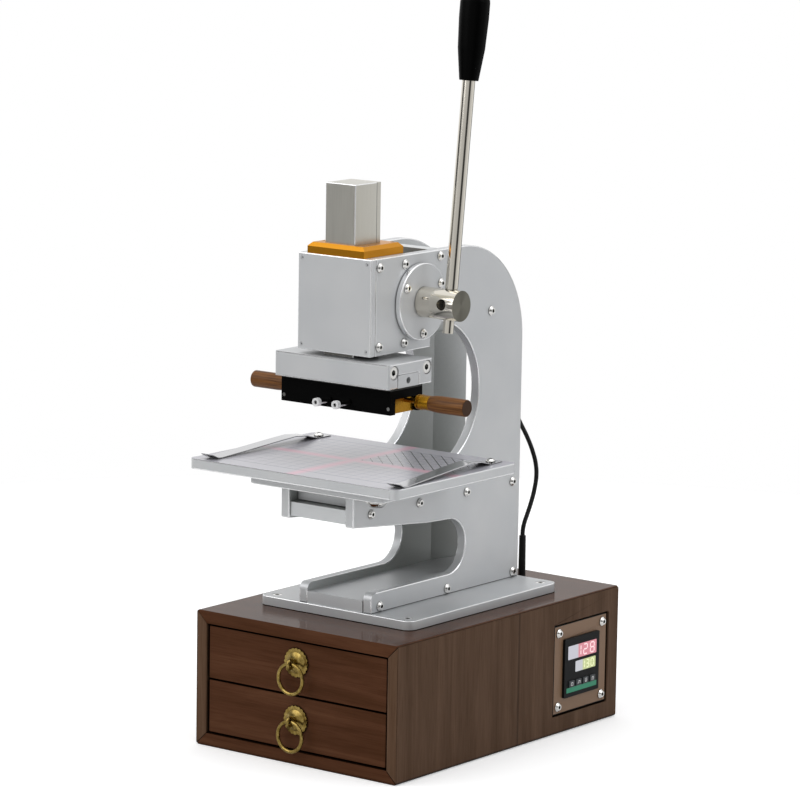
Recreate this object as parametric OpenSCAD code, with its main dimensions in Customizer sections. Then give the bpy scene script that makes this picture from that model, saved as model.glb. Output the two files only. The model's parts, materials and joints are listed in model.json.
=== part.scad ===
// Bench-top hot foil stamping machine: a rack-and-pinion press on a wooden drawer box.
// The origin is the middle of the box's underside. +X is right, the front faces -Y, +Z is up.

/* [Wooden box] */
// Width of the box
box_w = 198; // [180:1:230]
// Depth of the box
box_d = 292; // [280:1:330]
// Height of the box
box_h = 108; // [100:1:140]
// Thickness of the box panels
panel_t = 10; // [8:0.5:14]
// Radius of the box's long edges
box_edge_r = 2.5; // [0.5:0.1:4]
// Place along Y of the seam between the two boards of each side
seam_y = 10; // [0:1:16]
// Thickness of the divider behind the drawers
divider_t = 8; // [4:0.5:10]
// Thickness of the back panel
back_panel_t = 8; // [5:0.5:10]

/* [Drawers] */
// Gap around each drawer front
drawer_gap = 1.7; // [0.8:0.1:2]
// Thickness of a drawer front
drawer_front_t = 12; // [10:0.5:16]
// How far a drawer front stands behind the box's front
drawer_recess = 1.6; // [0:0.1:2.4]
// Thickness of the drawer walls
drawer_wall_t = 8; // [5:0.5:10]
// Thickness of a drawer floor
drawer_floor_t = 4; // [3:0.5:6]
// Width of a runner strip
runner_w = 12; // [8:0.5:16]
// Height of a runner strip
runner_h = 4; // [3:0.1:5]

/* [Ring pulls] */
// Diameter of a pull's rosette
rosette_d = 23; // [18:0.5:26]
// Height of the rosette's dome
rosette_t = 3.6; // [2.5:0.1:5]
// Number of scallops round a rosette
rosette_lobes = 20; // [12:1:28]
// Outside diameter of a pull's ring
ring_d = 26.5; // [22:0.5:28]
// Diameter of the ring's wire
ring_wire = 3; // [2:0.1:3.4]
// Diameter of a pull's post
post_d = 5; // [4.2:0.1:6]
// Height of the upper pull above the middle of its drawer
upper_pull_rise = 4.6; // [4.2:0.1:6]
// Height of the lower pull above the middle of its drawer
lower_pull_rise = 2.4; // [0:0.1:6]

/* [Control panel] */
// Side of the square control panel
panel_side = 72.6; // [66:0.2:80]
// Gap round the control panel in its recess
panel_gap = 0.9; // [0.2:0.1:1.2]
// Thickness of the control panel
panel_plate_t = 5; // [3:0.5:6]
// How far the panel lies below the box's side
panel_recess = 1; // [0:0.1:1.5]
// Place of the panel's middle along Y
panel_y = 95; // [88:1:96]
// Height of the panel's middle
panel_z = 52; // [50:0.5:55]
// Side of the controller's square front
controller_side = 48; // [44:0.5:52]
// Thickness of the controller's front
controller_front_t = 2.2; // [2:0.1:4]
// Depth of the controller's case
controller_depth = 75; // [50:1:90]
// Travel of a key
key_travel = 0.5; // [0.3:0.1:0.8]

/* [Power inlet] */
// Width of the inlet's flange
inlet_w = 60; // [56:0.5:66]
// Height of the inlet's flange
inlet_h = 30; // [28:0.5:36]
// Place of the inlet's middle along X
inlet_x = -40; // [-50:1:0]
// Radius of the rocker's drum
rocker_r = 9.5; // [8:0.1:10]
// Angle of the rocker from its middle to either side
rocker_tilt = 9; // [5:1:12]

/* [Press frame] */
// Width of the base plate
base_w = 150; // [110:1:170]
// Depth of the base plate
base_d = 196; // [194:1:204]
// Thickness of the base plate
base_t = 7.5; // [6:0.5:12]
// Place of the base plate's middle along Y
base_y = -2; // [-4:0.5:-1]
// Corner radius of the base plate
base_r = 8; // [2:0.5:10]
// Width over both side plates
frame_w = 71; // [68:0.5:76]
// Thickness of a side plate
plate_t = 8; // [6:0.5:9]
// Height of the side plates above the base plate
frame_h = 275.5; // [270:0.5:285]
// Radius of the side plates' rounded top
top_round_r = 80; // [60:1:82]
// Height of the head
head_h = 75; // [72:0.5:78]
// Height of the table arm's top above the base plate
arm_h = 94; // [92:0.5:97]
// Height of the arm's tip
arm_tip_h = 23.2; // [22:0.2:26]
// Height of the foot's top above the base plate
foot_h = 16; // [13:0.5:18]
// Radius of the throat behind the work
throat_r = 59; // [54:0.5:60]
// Radius of the rounded end of the lower cut
slot_r = 22; // [18:0.5:22.5]
// Height of the base block between the plates
base_block_h = 9.5; // [8:0.5:12]
// Thickness of the tie plate under the table
tie_t = 11; // [9:0.5:11]
// Thickness of the head's front plate
front_plate_t = 6; // [4:0.5:7]
// Diameter of the rear spacer bar
spacer_d = 14; // [10:0.5:16]

/* [Bearings and lever] */
// Diameter of a bearing flange
flange_d = 60; // [58:0.5:62]
// Thickness of a bearing flange
flange_t = 5; // [3:0.5:7]
// Diameter of the pinion shaft
shaft_d = 16; // [12:0.5:18]
// Diameter of the lever hub
hub_d = 24; // [22:0.5:28]
// Length of the lever hub
hub_l = 35.6; // [30:0.2:42]
// Diameter of the lever rod
lever_d = 10; // [9:0.2:12]
// Diameter of the lever rod in the hub
lever_seat_d = 8.6; // [7:0.1:8.8]
// Length of the lever from the shaft's axis to the knob
lever_l = 172; // [140:1:220]
// Length of the rod's end below the hub
lever_stub = 10; // [5:0.5:14]
// How far the lever leans back at rest, in degrees
lever_lean = 6.2; // [0:0.2:12]
// Length of the lever's knob
knob_l = 68; // [55:1:90]
// Largest diameter of the knob
knob_d = 23; // [20:0.5:28]

/* [Rack and pinion] */
// Tooth module
tooth_module = 1.5; // [1.4:0.05:1.55]
// Number of teeth on the pinion
pinion_teeth = 32; // [30:1:33]
// Width of the pinion
pinion_w = 22; // [16:0.5:22.4]

/* [Ram] */
// Width of the ram bar
bar_w = 29; // [28:0.2:32]
// Depth of the ram bar without its rack
bar_d = 26.8; // [24:0.2:27]
// Thickness of the rack
rack_t = 4.6; // [4.4:0.1:5.5]
// Height of the bar above the side plates at rest
bar_rise = 55; // [46:0.5:70]
// Length of the platen along X
platen_l = 111.4; // [106:0.2:116]
// Depth of the platen
platen_d = 55.4; // [53:0.2:58]
// Thickness of the platen
platen_t = 19; // [17:0.5:21]
// Gap between the head and the platen at rest
ram_gap = 3.5; // [2:0.1:5]
// Width of the heater carrier in the platen's channel
carrier_w = 26; // [22:0.2:26]
// Height of the heater carrier
carrier_h = 10; // [8:0.5:10]
// Thickness of the insulation board
insulation_t = 2; // [1:0.5:4]
// How far the heater block's ends stand back from the platen's
heater_step = 2.3; // [1.5:0.1:3.5]
// Depth of the heater block
heater_d = 39.8; // [39:0.2:42]
// Height of the heater block
heater_h = 18.5; // [18:0.1:20]
// Diameter of a heater cartridge
cartridge_d = 5; // [3:0.1:5.2]

/* [Die holder] */
// Length of the brass plate
holder_l = 91.5; // [86:0.5:95]
// Depth of the brass plate
holder_d = 28; // [24:0.2:28.4]
// Height of the brass plate
holder_h = 11.6; // [11.2:0.1:11.8]
// Bare length of a handle's stud
stud_l = 12; // [11.6:0.2:14]
// Length of a handle's ferrule
ferrule_l = 12; // [8:0.5:14]
// Diameter of a handle's ferrule
ferrule_d = 11.4; // [9:0.1:12]
// Length of a wooden handle
handle_l = 34; // [26:0.5:45]
// Largest diameter of a wooden handle
handle_d = 13.2; // [12.4:0.1:13.6]

/* [Work table] */
// Width of the table plate
table_w = 202.4; // [194:0.2:220]
// Depth of the table plate
table_d = 156; // [146:1:160]
// Thickness of the table plate
table_t = 8; // [7:0.2:9]
// Corner radius of the table plate
table_r = 6; // [2:0.5:12]
// Width of the table's carrier
bench_w = 132; // [116:1:140]
// Depth of the table's carrier
bench_d = 123; // [118:1:125]
// Thickness of the table's carrier
bench_t = 11.3; // [9:0.1:12]
// Width of a spring clip
clip_w = 12; // [10:0.2:14]
// Thickness of a spring clip
clip_t = 0.8; // [0.6:0.1:1]
// Height of a clip's hump above the table
clip_hump = 5; // [3:0.1:5.4]
// Distance of a clip's middle from the table's side
clip_inset = 16.2; // [12:0.2:20]
// How far the right-hand clip is swivelled outwards at rest, in degrees
right_clip_turn = 4.5; // [0:0.5:8]

/* [Lead] */
// Diameter of the heater lead
lead_d = 3.6; // [3:0.1:4.4]
// Diameter of the boot on the box
boot_d = 6; // [5.6:0.1:8]

/* [Screws] */
// Diameter of the frame screws
screw_d = 4; // [3:0.1:4.2]
// Head diameter of the frame screws
screw_head_d = 7.6; // [6:0.1:8]
// Head height of the frame screws
screw_head_h = 2.3; // [1.8:0.1:2.8]
// Depth of the frame screws in the pieces between the plates
screw_grip = 9; // [6:0.5:11]

/* [Clearances] */
// Radial clearance of a turning shaft
run_clear = 0.05; // [0.02:0.01:0.1]
// Radial clearance of a screw in its hole
hole_clear = 0.1; // [0.05:0.01:0.2]
// Clearance of a sliding face
slide_clear = 0.1; // [0.05:0.01:0.15]
// Clearance between pieces that pass each other
pass_clear = 0.3; // [0.2:0.05:0.35]

/* [Hidden] */
$fn = 64;
eps = 0.01;

// Wooden box
box_front_y = -box_d / 2;
box_back_y = box_d / 2;
box_side_x = box_w / 2;
inner_w = box_w - 2 * panel_t;
inner_h = box_h - 2 * panel_t;
divider_front_y = seam_y - divider_t / 2;
back_panel_y = box_back_y - back_panel_t;

// Drawers, counted from the bottom
drawer_h = (inner_h - 3 * drawer_gap) / 2;
drawer_w = inner_w - 2 * drawer_gap;
drawer_front_y = box_front_y + drawer_recess;
drawer_box_y = drawer_front_y + drawer_front_t;
drawer_side_gap = 2;
drawer_back_gap = 3;
drawer_top_drop = 8;
drawer_floor_rise = 2;
glue_line = 0.05;
drawer_box_w = inner_w - 2 * drawer_side_gap;
drawer_back_y = divider_front_y - drawer_back_gap;
runner_rise = runner_h - drawer_gap;
runner_y = drawer_box_y + 1.2;

// Ring pulls
ring_r = (ring_d - ring_wire) / 2;
eye_wire_r = 1.3;
eye_play = 0.4;
eye_hole_r = ring_wire / 2 + eye_play;
eye_stand = rosette_t + eye_hole_r + eye_wire_r + 0.8;
eye_y = drawer_front_y - eye_stand;
lobe_r = 1.9;
lobe_h = 1.2;

// Control panel on the right side, and the controller in it
panel_face_x = box_side_x - panel_recess;
panel_seat_x = panel_face_x - panel_plate_t;
panel_fit = 0.2;
panel_window = 52;
panel_screw_inset = 6.4;
case_side = controller_side - 3.2;
controller_face_x = panel_face_x + controller_front_t;
key_w = 7.4;
key_h = 5.4;
key_pitch = 9.6;
key_drop = 13.4;
key_proud = 0.9;
key_t = 1.4;
key_fit = 0.2;

// Power inlet on the back panel, with its rocker
inlet_t = 3;
inlet_z = box_h / 2;
inlet_body_inset = 4;
inlet_body_w = inlet_w - 2 * inlet_body_inset;
inlet_body_h = inlet_h - 2 * inlet_body_inset;
inlet_body_d = 28;
inlet_face_y = box_back_y + inlet_t;
socket_w = 25;
socket_h = 17;
socket_d = 18;
socket_x = inlet_x - 12;
inlet_pin = [2, 14, 4];
rocker_x = inlet_x + 18;
rocker_w = 13;
rocker_fit = 0.4;
rocker_sink = 4;

// Relay on the bottom panel of the electrical bay
relay_x = -14;
relay_size = [45, 62, 20];
relay_back_gap = 21;
relay_y = back_panel_y - relay_back_gap - relay_size[1] / 2;
relay_terminal = [16, 10, 7];

// Press frame
base_top_z = box_h + base_t;
base_front_y = base_y - base_d / 2;
base_back_y = base_y + base_d / 2;
base_screw_inset = 10.5;
base_screw_d = 4;
base_screw_head = [7.8, 2.6];
inner_x = frame_w / 2 - plate_t;
frame_x = frame_w / 2;
frame_top_z = base_top_z + frame_h;
frame_back_y = 94.5;
head_bottom_z = frame_top_z - head_h;
head_front_y = -104;
cheek_back_y = -28;
throat_y = -22;
throat_rise = 160.5;
throat_z = base_top_z + throat_rise;
throat_fillet = 14;
arm_top_z = base_top_z + arm_h;
arm_front_y = -122;
arm_tip_z = arm_top_z - arm_tip_h;
bench_stop_y = 2;
foot_front_y = -98;
foot_top_z = base_top_z + foot_h;
foot_round = 6;
slot_y = 0.5;
slot_z = foot_top_z + slot_r;
shoulder_rise = 1.3;
tie_top_z = arm_top_z - 10.5;
tie_mid_z = tie_top_z - tie_t / 2;
tie_front_y = arm_front_y + 2;
tie_back_y = frame_back_y - 2.5;
block_back_y = frame_back_y - 2.5;
base_block_seam = 0.7;
spacer_y = 51;
spacer_rise = 220.5;
spacer_z = base_top_z + spacer_rise;
head_tie_y = -17;
head_tie_d = 12;
head_tie_h = 10;
head_tie_z = frame_top_z - head_tie_h / 2;
edge_bar = [7.9, 33];
edge_bar_drop = 0.3;
edge_bar_spans = [
    [base_top_z + base_block_h + slide_clear, tie_top_z - tie_t - slide_clear],
    [tie_top_z + slide_clear, frame_top_z - top_round_r]];

// Ram, rack and pinion: the rack's pitch line carries the pinion's place
bar_front_y = head_front_y + front_plate_t + slide_clear;
bar_back_y = bar_front_y + bar_d;
rack_back_y = bar_back_y + rack_t;
pitch_y = rack_back_y - tooth_module;
pitch_r = tooth_module * pinion_teeth / 2;
pinion_y = pitch_y + pitch_r;
pinion_z = (head_bottom_z + frame_top_z) / 2;
tooth_pitch = PI * tooth_module;
pressure_angle = 20;
backlash = 0.3;
tooth_root = 1.25 * tooth_module;
tooth_tip = 0.95 * tooth_module;
tip_r = pitch_r + tooth_tip;
tooth_zone_x = pinion_w / 2 + pass_clear;
ram_stroke = 1.6 * pitch_r;
mesh_reach = sqrt(tip_r * tip_r - (pitch_r - tooth_module) * (pitch_r - tooth_module));
first_groove = -ceil(mesh_reach / tooth_pitch);
last_groove = ceil((ram_stroke + mesh_reach) / tooth_pitch);
bar_bottom_z = head_bottom_z - ram_gap;
bar_top_z = frame_top_z + bar_rise;
platen_bottom_z = bar_bottom_z - platen_t;
platen_y = -79.2;
heater_l = platen_l - 2 * heater_step;
heater_top_z = platen_bottom_z - insulation_t;
heater_z = heater_top_z - heater_h;
heater_y = -81;
carrier_y = -81.8;
platen_screw_y = 20.7;
platen_screw_drop = 6.5;
platen_screw_d = 6;
platen_screw_head = [10, 6];
platen_counterbore = [11, 6.6];
platen_screw_l = 26;
carrier_hole_d = 5;
carrier_hole_l = 20;
cartridge_l = heater_l - 6.8;
cartridge_gap_y = 7;
clamp_screw_x = [-5.2, 13.6];
clamp_screw_rise = 6;
clamp_screw_out = 14.5;
clamp_head = [6.6, 3.6];
edge_screw_inset = 2.4;
edge_screw_rise = 4.8;
edge_screw_d = 3;
edge_screw_l = 5;

// Guides in the head
gib_back_y = rack_back_y + 12.5;
gib_lip_x = max(tooth_zone_x, pinion_w / 2 + 1);
cap_w = frame_w - 2 * plate_t;
cap_h = 8.5;
cap_chamfer = 3;
cap_front_y = head_front_y + 0.8;
cap_back_y = gib_back_y - slide_clear;
cap_screw_inset = 6;
cap_screw_grip = 3.4;
flush_drop = 0.2;

// Bearing flanges and the shaft
spigot_d = 34;
flange_screw_r = 24.8;
flange_screw_angles = [-90, 30, 150];
collar_x = inner_x - 2.5;
hub_start_x = frame_x + flange_t + pass_clear;
hub_end_x = hub_start_x + hub_l;
lever_x = hub_end_x - 10.6;
shaft_end_x = -(frame_x + flange_t + 2);
cross_hole_l = 7;
knob_grip = 25;
spring_gap = 1.2;

// Die holder, pushed to its right-hand stop at rest
holder_slot_d = holder_d + 2 * slide_clear;
holder_y = -80.8;
holder_play = (holder_l / 2 + stud_l) - heater_l / 2 - pass_clear;
holder_x = holder_play;
stud_d = 3.6;
stud_seat = 10;
stud_y = holder_y + 4.2;
stud_z = heater_z + 9;
ring_step = [11.6, 1.4];
handle_end_r = 0.8;
stud_in_handle = 15;

// Work table, carried on the arms
bench_z = arm_top_z + 2 * slide_clear;
table_z = bench_z + bench_t;
table_top_z = table_z + table_t;
table_back_y = 0.5;
table_y = table_back_y - table_d / 2;
bench_back_y = table_back_y - 4.5;
bench_y = bench_back_y - bench_d / 2;
bench_r = 8;
tongue_w = 2 * (inner_x - slide_clear * 2);
tongue_front_y = bench_y - bench_d / 2 + 15;
tongue_z = tie_top_z + pass_clear;
bench_screw_x = bench_w / 2 - 10;
bench_screw_inset = [24, 32];
bench_screw = [6, 10, 4];
bench_lock = [51.5, -114];
bench_lock_screw = [8, 17, 5.4];
clip_x = table_w / 2 - clip_inset;
clip_screw_y = table_back_y - 14.5;
clip_lift = 0.1;

// Heater lead: a clamp on the rear spacer, a free run in one plane, a boot on the box
lead_x = 22;
boot_y = 119;
boot_spigot_d = 5;
clamp_w = 8;
clamp_wall = 2.5;
clamp_boss_d = 8;
lead_slope = [3, -5];
lead_sides = 8;
lead_steps = 3;
lead_route = [
    [60, 321], [63, 316], [66, 311], [72, 301], [80, 288], [90, 270.5], [101, 252.5], [113, 236],
    [123, 223], [131, 210], [135.5, 199], [136.5, 190], [134.5, 180], [130, 169], [125, 160],
    [121, 153], [119.3, 148], [119, 145.5], [119, 143]
];
boot_h = lead_route[len(lead_route) - 1][1] - box_h;

// Places of the frame screws on a side plate, as Y and Z
screw_edge = 7;
gib_screws = [for (y = [head_front_y + 10.5, head_front_y + 42])
    for (z = [head_bottom_z + screw_edge, frame_top_z - screw_edge]) [y, z]];
tie_screw_first = arm_front_y + 22;
tie_screw_last = frame_back_y - 10;
tie_screw_step = (tie_screw_last - tie_screw_first) / 3;
tie_screws = [for (i = [0 : 3]) [tie_screw_first + i * tie_screw_step, tie_mid_z + 0.8]];
block_screw_ends = [10.6, 7.5];
block_screws = [for (y = [foot_front_y + block_screw_ends[0], -1, frame_back_y - block_screw_ends[1]])
    [y, base_top_z + base_block_h / 2]];
bar_screws = [[spacer_y, spacer_z], [head_tie_y, head_tie_z]];
side_screws = concat(gib_screws, tie_screws, block_screws, bar_screws);
flange_screws = [for (a = flange_screw_angles)
    [pinion_y + flange_screw_r * cos(a), pinion_z + flange_screw_r * sin(a)]];
screw_hole_d = screw_d + 2 * hole_clear;

// Shared shapes

// A rectangle with round corners, centred
module rounded_rect(w, d, r) {
    square([w - 2 * r, d], center = true);
    square([w, d - 2 * r], center = true);
    for (x = [-1, 1])
        for (y = [-1, 1])
            translate([x * (w / 2 - r), y * (d / 2 - r)])
                circle(r);
}

// A block between two corners
module block(low, high) {
    translate(low)
        cube(high - low);
}

// A cylinder along X
module x_rod(d, x0, x1) {
    translate([x0, 0, 0])
        rotate([0, 90, 0])
            cylinder(d = d, h = x1 - x0);
}

// A cylinder along Y
module y_rod(d, y0, y1) {
    translate([0, y1, 0])
        rotate([90, 0, 0])
            cylinder(d = d, h = y1 - y0);
}

// A drawing in Y and Z, made thick along X
module along_x(x0, x1) {
    translate([x0, 0, 0])
        rotate([90, 0, 90])
            linear_extrude(x1 - x0)
                children();
}

// A drawing in X and Z, made thick along Y
module along_y(y0, y1) {
    translate([0, y1, 0])
        rotate([90, 0, 0])
            linear_extrude(y1 - y0)
                children();
}

// A button-head socket screw, its head standing on Z = 0 and its shank below
module button_screw(d, head_d, head_h, shank) {
    difference() {
        union() {
            translate([0, 0, -shank])
                cylinder(d = d, h = shank + eps);
            cylinder(d = head_d, h = head_h * 0.35);
            translate([0, 0, head_h * 0.35])
                cylinder(d1 = head_d, d2 = head_d * 0.62, h = head_h * 0.65);
        }
        translate([0, 0, head_h * 0.4])
            cylinder(d = head_d * 0.4, h = head_h, $fn = 6);
    }
}

// Frame screws at their places on the right-hand plate, heads outwards
module plate_screw_set(places, face_x, shank) {
    for (p = places)
        translate([face_x, p[0], p[1]])
            rotate([0, 90, 0])
                button_screw(screw_d, screw_head_d, screw_head_h, shank);
}

// Holes for the frame screws in a piece between the plates
module tapped_holes(places) {
    for (p = places)
        translate([0, p[0], p[1]]) {
            x_rod(screw_hole_d, inner_x - screw_grip - pass_clear, inner_x + eps);
            x_rod(screw_hole_d, -inner_x - eps, -inner_x + screw_grip + pass_clear);
        }
}

// Wooden box

// A board along Y with a mitred section, its corners taken off by the box's rounded outline
module box_board(y0, y1, section) {
    intersection() {
        along_y(y0, y1)
            polygon(section);
        along_y(y0 - 1, y1 + 1)
            translate([0, box_h / 2])
                rounded_rect(box_w, box_h, box_edge_r);
    }
}

module box_bottom() {
    color("saddlebrown")
        box_board(box_front_y, box_back_y,
            [[-box_side_x, 0], [box_side_x, 0], [inner_w / 2, panel_t], [-inner_w / 2, panel_t]]);
}

module box_top() {
    color("saddlebrown")
        difference() {
            box_board(box_front_y, box_back_y,
                [[-box_side_x, box_h], [-inner_w / 2, box_h - panel_t],
                    [inner_w / 2, box_h - panel_t], [box_side_x, box_h]]);
            base_screw_places()
                translate([0, 0, -panel_t - base_t - eps])
                    cylinder(d = base_screw_d + 2 * hole_clear, h = panel_t + 1);
            translate([lead_x, boot_y, box_h - panel_t - eps])
                cylinder(d = boot_spigot_d + 2 * hole_clear, h = panel_t + 1);
        }
}

module side_boards(side) {
    section = [[side * box_side_x, 0], [side * box_side_x, box_h],
        [side * inner_w / 2, box_h - panel_t], [side * inner_w / 2, panel_t]];
    box_board(box_front_y, seam_y - glue_line, section);
    box_board(seam_y, box_back_y, section);
}

module box_left_side() {
    color("saddlebrown")
        side_boards(-1);
}

module box_right_side() {
    color("saddlebrown")
        difference() {
            side_boards(1);
            translate([0, panel_y, panel_z]) {
                along_x(panel_seat_x, box_side_x + 1)
                    square(panel_side + 2 * panel_gap, center = true);
                along_x(inner_w / 2 - 1, panel_seat_x + eps)
                    square(panel_window, center = true);
                panel_corners()
                    x_rod(screw_hole_d, inner_w / 2 - 1, panel_seat_x + eps);
            }
        }
}

module box_back_panel() {
    color("saddlebrown")
        difference() {
            block([-inner_w / 2, back_panel_y, panel_t], [inner_w / 2, box_back_y, box_h - panel_t]);
            translate([inlet_x, 0, inlet_z])
                along_y(back_panel_y - 1, box_back_y + 1)
                    square([inlet_body_w + 2 * panel_fit, inlet_body_h + 2 * panel_fit], center = true);
        }
}

module cabinet_divider() {
    color("burlywood")
        block([-inner_w / 2, divider_front_y, panel_t],
            [inner_w / 2, divider_front_y + divider_t, box_h - panel_t]);
}

module drawer_runners() {
    color("burlywood")
        for (i = [0, 1])
            for (side = [-1, 1])
                translate([side * (inner_w - runner_w) / 2, 0, 0])
                    block([-runner_w / 2, runner_y, drawer_z(i) + runner_rise - runner_h],
                        [runner_w / 2, divider_front_y, drawer_z(i) + runner_rise]);
}

// Drawers

function drawer_z(i) = panel_t + drawer_gap + i * (drawer_h + drawer_gap);
function pull_z(i) = drawer_z(i) + drawer_h / 2 + (i == 1 ? upper_pull_rise : lower_pull_rise);

module drawer_front(i) {
    difference() {
        block([-drawer_w / 2, drawer_front_y, drawer_z(i)],
            [drawer_w / 2, drawer_box_y, drawer_z(i) + drawer_h]);
        translate([0, 0, pull_z(i)])
            y_rod(post_d + 2 * hole_clear, drawer_front_y - 1, drawer_box_y + 1);
    }
}

// Two sides, a back and a floor, each a board of its own
module drawer_box(i) {
    low_z = drawer_z(i) + runner_rise + 2 * slide_clear;
    high_z = drawer_z(i) + drawer_h - drawer_top_drop;
    board_x = drawer_box_w / 2 - drawer_wall_t - glue_line;
    inside_y = drawer_back_y - drawer_wall_t;
    floor_z = low_z + drawer_floor_rise;
    for (side = [-1, 1])
        translate([side * (drawer_box_w - drawer_wall_t) / 2, 0, 0])
            block([-drawer_wall_t / 2, drawer_box_y, low_z], [drawer_wall_t / 2, drawer_back_y, high_z]);
    block([-board_x, inside_y, low_z], [board_x, drawer_back_y, high_z]);
    block([-board_x, drawer_box_y, floor_z], [board_x, inside_y - glue_line, floor_z + drawer_floor_t]);
}

// A domed rosette with a scalloped edge, and the eye post through its middle
module pull(i) {
    rosette_r = rosette_d / 2 - lobe_r / 2;
    dome_r = (rosette_r * rosette_r + rosette_t * rosette_t) / (2 * rosette_t);
    translate([0, drawer_front_y, pull_z(i)])
        rotate([90, 0, 0])
            difference() {
                union() {
                    intersection() {
                        translate([0, 0, rosette_t - dome_r])
                            sphere(dome_r);
                        cylinder(r = rosette_r, h = rosette_t + 1);
                    }
                    cylinder(r = rosette_r, h = lobe_h);
                    for (k = [0 : rosette_lobes - 1])
                        rotate(k * 360 / rosette_lobes)
                            translate([rosette_d / 2 - lobe_r, 0, 0])
                                cylinder(r = lobe_r, h = lobe_h);
                }
                translate([0, 0, -1])
                    cylinder(d = post_d + 2 * hole_clear, h = rosette_t + 2);
            }
    translate([0, 0, pull_z(i)]) {
        y_rod(post_d, eye_y + eye_hole_r + eye_wire_r, drawer_box_y);
        translate([0, eye_y, 0])
            rotate([0, 90, 0])
                rotate_extrude()
                    translate([eye_hole_r + eye_wire_r, 0])
                        circle(eye_wire_r);
    }
}

module pull_ring(i) {
    translate([0, eye_y, pull_z(i) - ring_r])
        rotate([90, 0, 0])
            rotate_extrude()
                translate([ring_r, 0])
                    circle(ring_wire / 2);
}

module upper_drawer_front() { color("saddlebrown") drawer_front(1); }
module upper_drawer_box() { color("burlywood") drawer_box(1); }
module upper_pull() { color("darkgoldenrod") pull(1); }
module upper_ring() { color("darkgoldenrod") pull_ring(1); }
module lower_drawer_front() { color("saddlebrown") drawer_front(0); }
module lower_drawer_box() { color("burlywood") drawer_box(0); }
module lower_pull() { color("darkgoldenrod") pull(0); }
module lower_ring() { color("darkgoldenrod") pull_ring(0); }

// Control panel and controller

module panel_corners() {
    reach = panel_side / 2 - panel_screw_inset;
    for (y = [-1, 1])
        for (z = [-1, 1])
            translate([0, y * reach, z * reach])
                children();
}

module control_panel() {
    color("saddlebrown")
        translate([0, panel_y, panel_z])
            difference() {
                along_x(panel_seat_x, panel_face_x)
                    square(panel_side, center = true);
                along_x(panel_seat_x - 1, panel_face_x + 1)
                    square(case_side + 2 * panel_fit, center = true);
                panel_corners()
                    x_rod(screw_hole_d, panel_seat_x - 1, panel_face_x + 1);
            }
}

module panel_screws() {
    color("silver")
        translate([panel_face_x, panel_y, panel_z])
            panel_corners()
                rotate([0, 90, 0])
                    button_screw(screw_d, screw_head_d, screw_head_h, panel_plate_t + panel_t / 3);
}

module controller_case() {
    color("dimgray")
        translate([0, panel_y, panel_z])
            along_x(panel_face_x - controller_depth, panel_face_x)
                square(case_side, center = true);
}

module key_place(k) {
    translate([0, panel_y + (k - 2.5) * key_pitch, panel_z - key_drop])
        children();
}

module controller_front() {
    color("black")
        difference() {
            translate([0, panel_y, panel_z])
                along_x(panel_face_x, controller_face_x)
                    rounded_rect(controller_side, controller_side, 1.5);
            for (k = [1 : 4])
                key_place(k)
                    along_x(controller_face_x - key_t - key_travel, controller_face_x + 1)
                        square([key_w + 2 * key_fit, key_h + 2 * key_fit], center = true);
        }
}

module key(k) {
    color("darkslategray")
        key_place(k)
            along_x(controller_face_x - key_t + pass_clear, controller_face_x + key_proud)
                rounded_rect(key_w, key_h, 0.8);
}

module key_1() { key(1); }
module key_2() { key(2); }
module key_3() { key(3); }
module key_4() { key(4); }

// Electrics behind the back panel

module power_inlet() {
    color("black") {
        difference() {
            union() {
                translate([inlet_x, 0, inlet_z]) {
                    along_y(box_back_y, inlet_face_y)
                        rounded_rect(inlet_w, inlet_h, 2);
                    along_y(box_back_y - inlet_body_d, box_back_y)
                        square([inlet_body_w, inlet_body_h], center = true);
                }
            }
            translate([socket_x, 0, inlet_z])
                along_y(inlet_face_y - socket_d, inlet_face_y + 1)
                    rounded_rect(socket_w, socket_h, 2);
            translate([rocker_x, inlet_face_y - rocker_sink, inlet_z])
                x_rod(2 * (rocker_r + rocker_fit), -rocker_w / 2 - rocker_fit, rocker_w / 2 + rocker_fit);
        }
        for (p = [[-7, -2], [0, 3], [7, -2]])
            translate([socket_x + p[0], inlet_face_y - socket_d, inlet_z + p[1]])
                translate([-inlet_pin[0] / 2, -eps, -inlet_pin[2] / 2])
                    cube(inlet_pin);
    }
}

// A drum with a shallow V cut across its face, so that one half always stands proud
module power_rocker() {
    rise = rocker_r * tan(rocker_tilt);
    color("crimson")
        translate([rocker_x, inlet_face_y - rocker_sink, inlet_z])
            rotate([rocker_tilt, 0, 0])
                along_x(-rocker_w / 2, rocker_w / 2)
                    difference() {
                        circle(rocker_r);
                        polygon([[rocker_sink, 0], [rocker_sink + rise, rocker_r], [2 * rocker_r, rocker_r],
                            [2 * rocker_r, -rocker_r], [rocker_sink + rise, -rocker_r]]);
                    }
}

// A closed block on the bottom panel, cut down at both ends for its terminals
module solid_state_relay() {
    color("gainsboro")
        translate([relay_x, relay_y, panel_t])
            difference() {
                translate([-relay_size[0] / 2, -relay_size[1] / 2, 0])
                    cube(relay_size);
                for (y = [-1, 1])
                    for (x = [-1, 1])
                        translate([x * relay_size[0] / 4, y * relay_size[1] / 2, relay_size[2]])
                            block([-relay_terminal[0] / 2, -relay_terminal[1], -relay_terminal[2]],
                                [relay_terminal[0] / 2, relay_terminal[1], 1]);
            }
}

// Press frame

module base_screw_places() {
    for (x = [-1, 1])
        for (y = [base_front_y + base_screw_inset, base_back_y - base_screw_inset])
            translate([x * (base_w / 2 - base_screw_inset), y, base_top_z])
                children();
}

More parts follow.
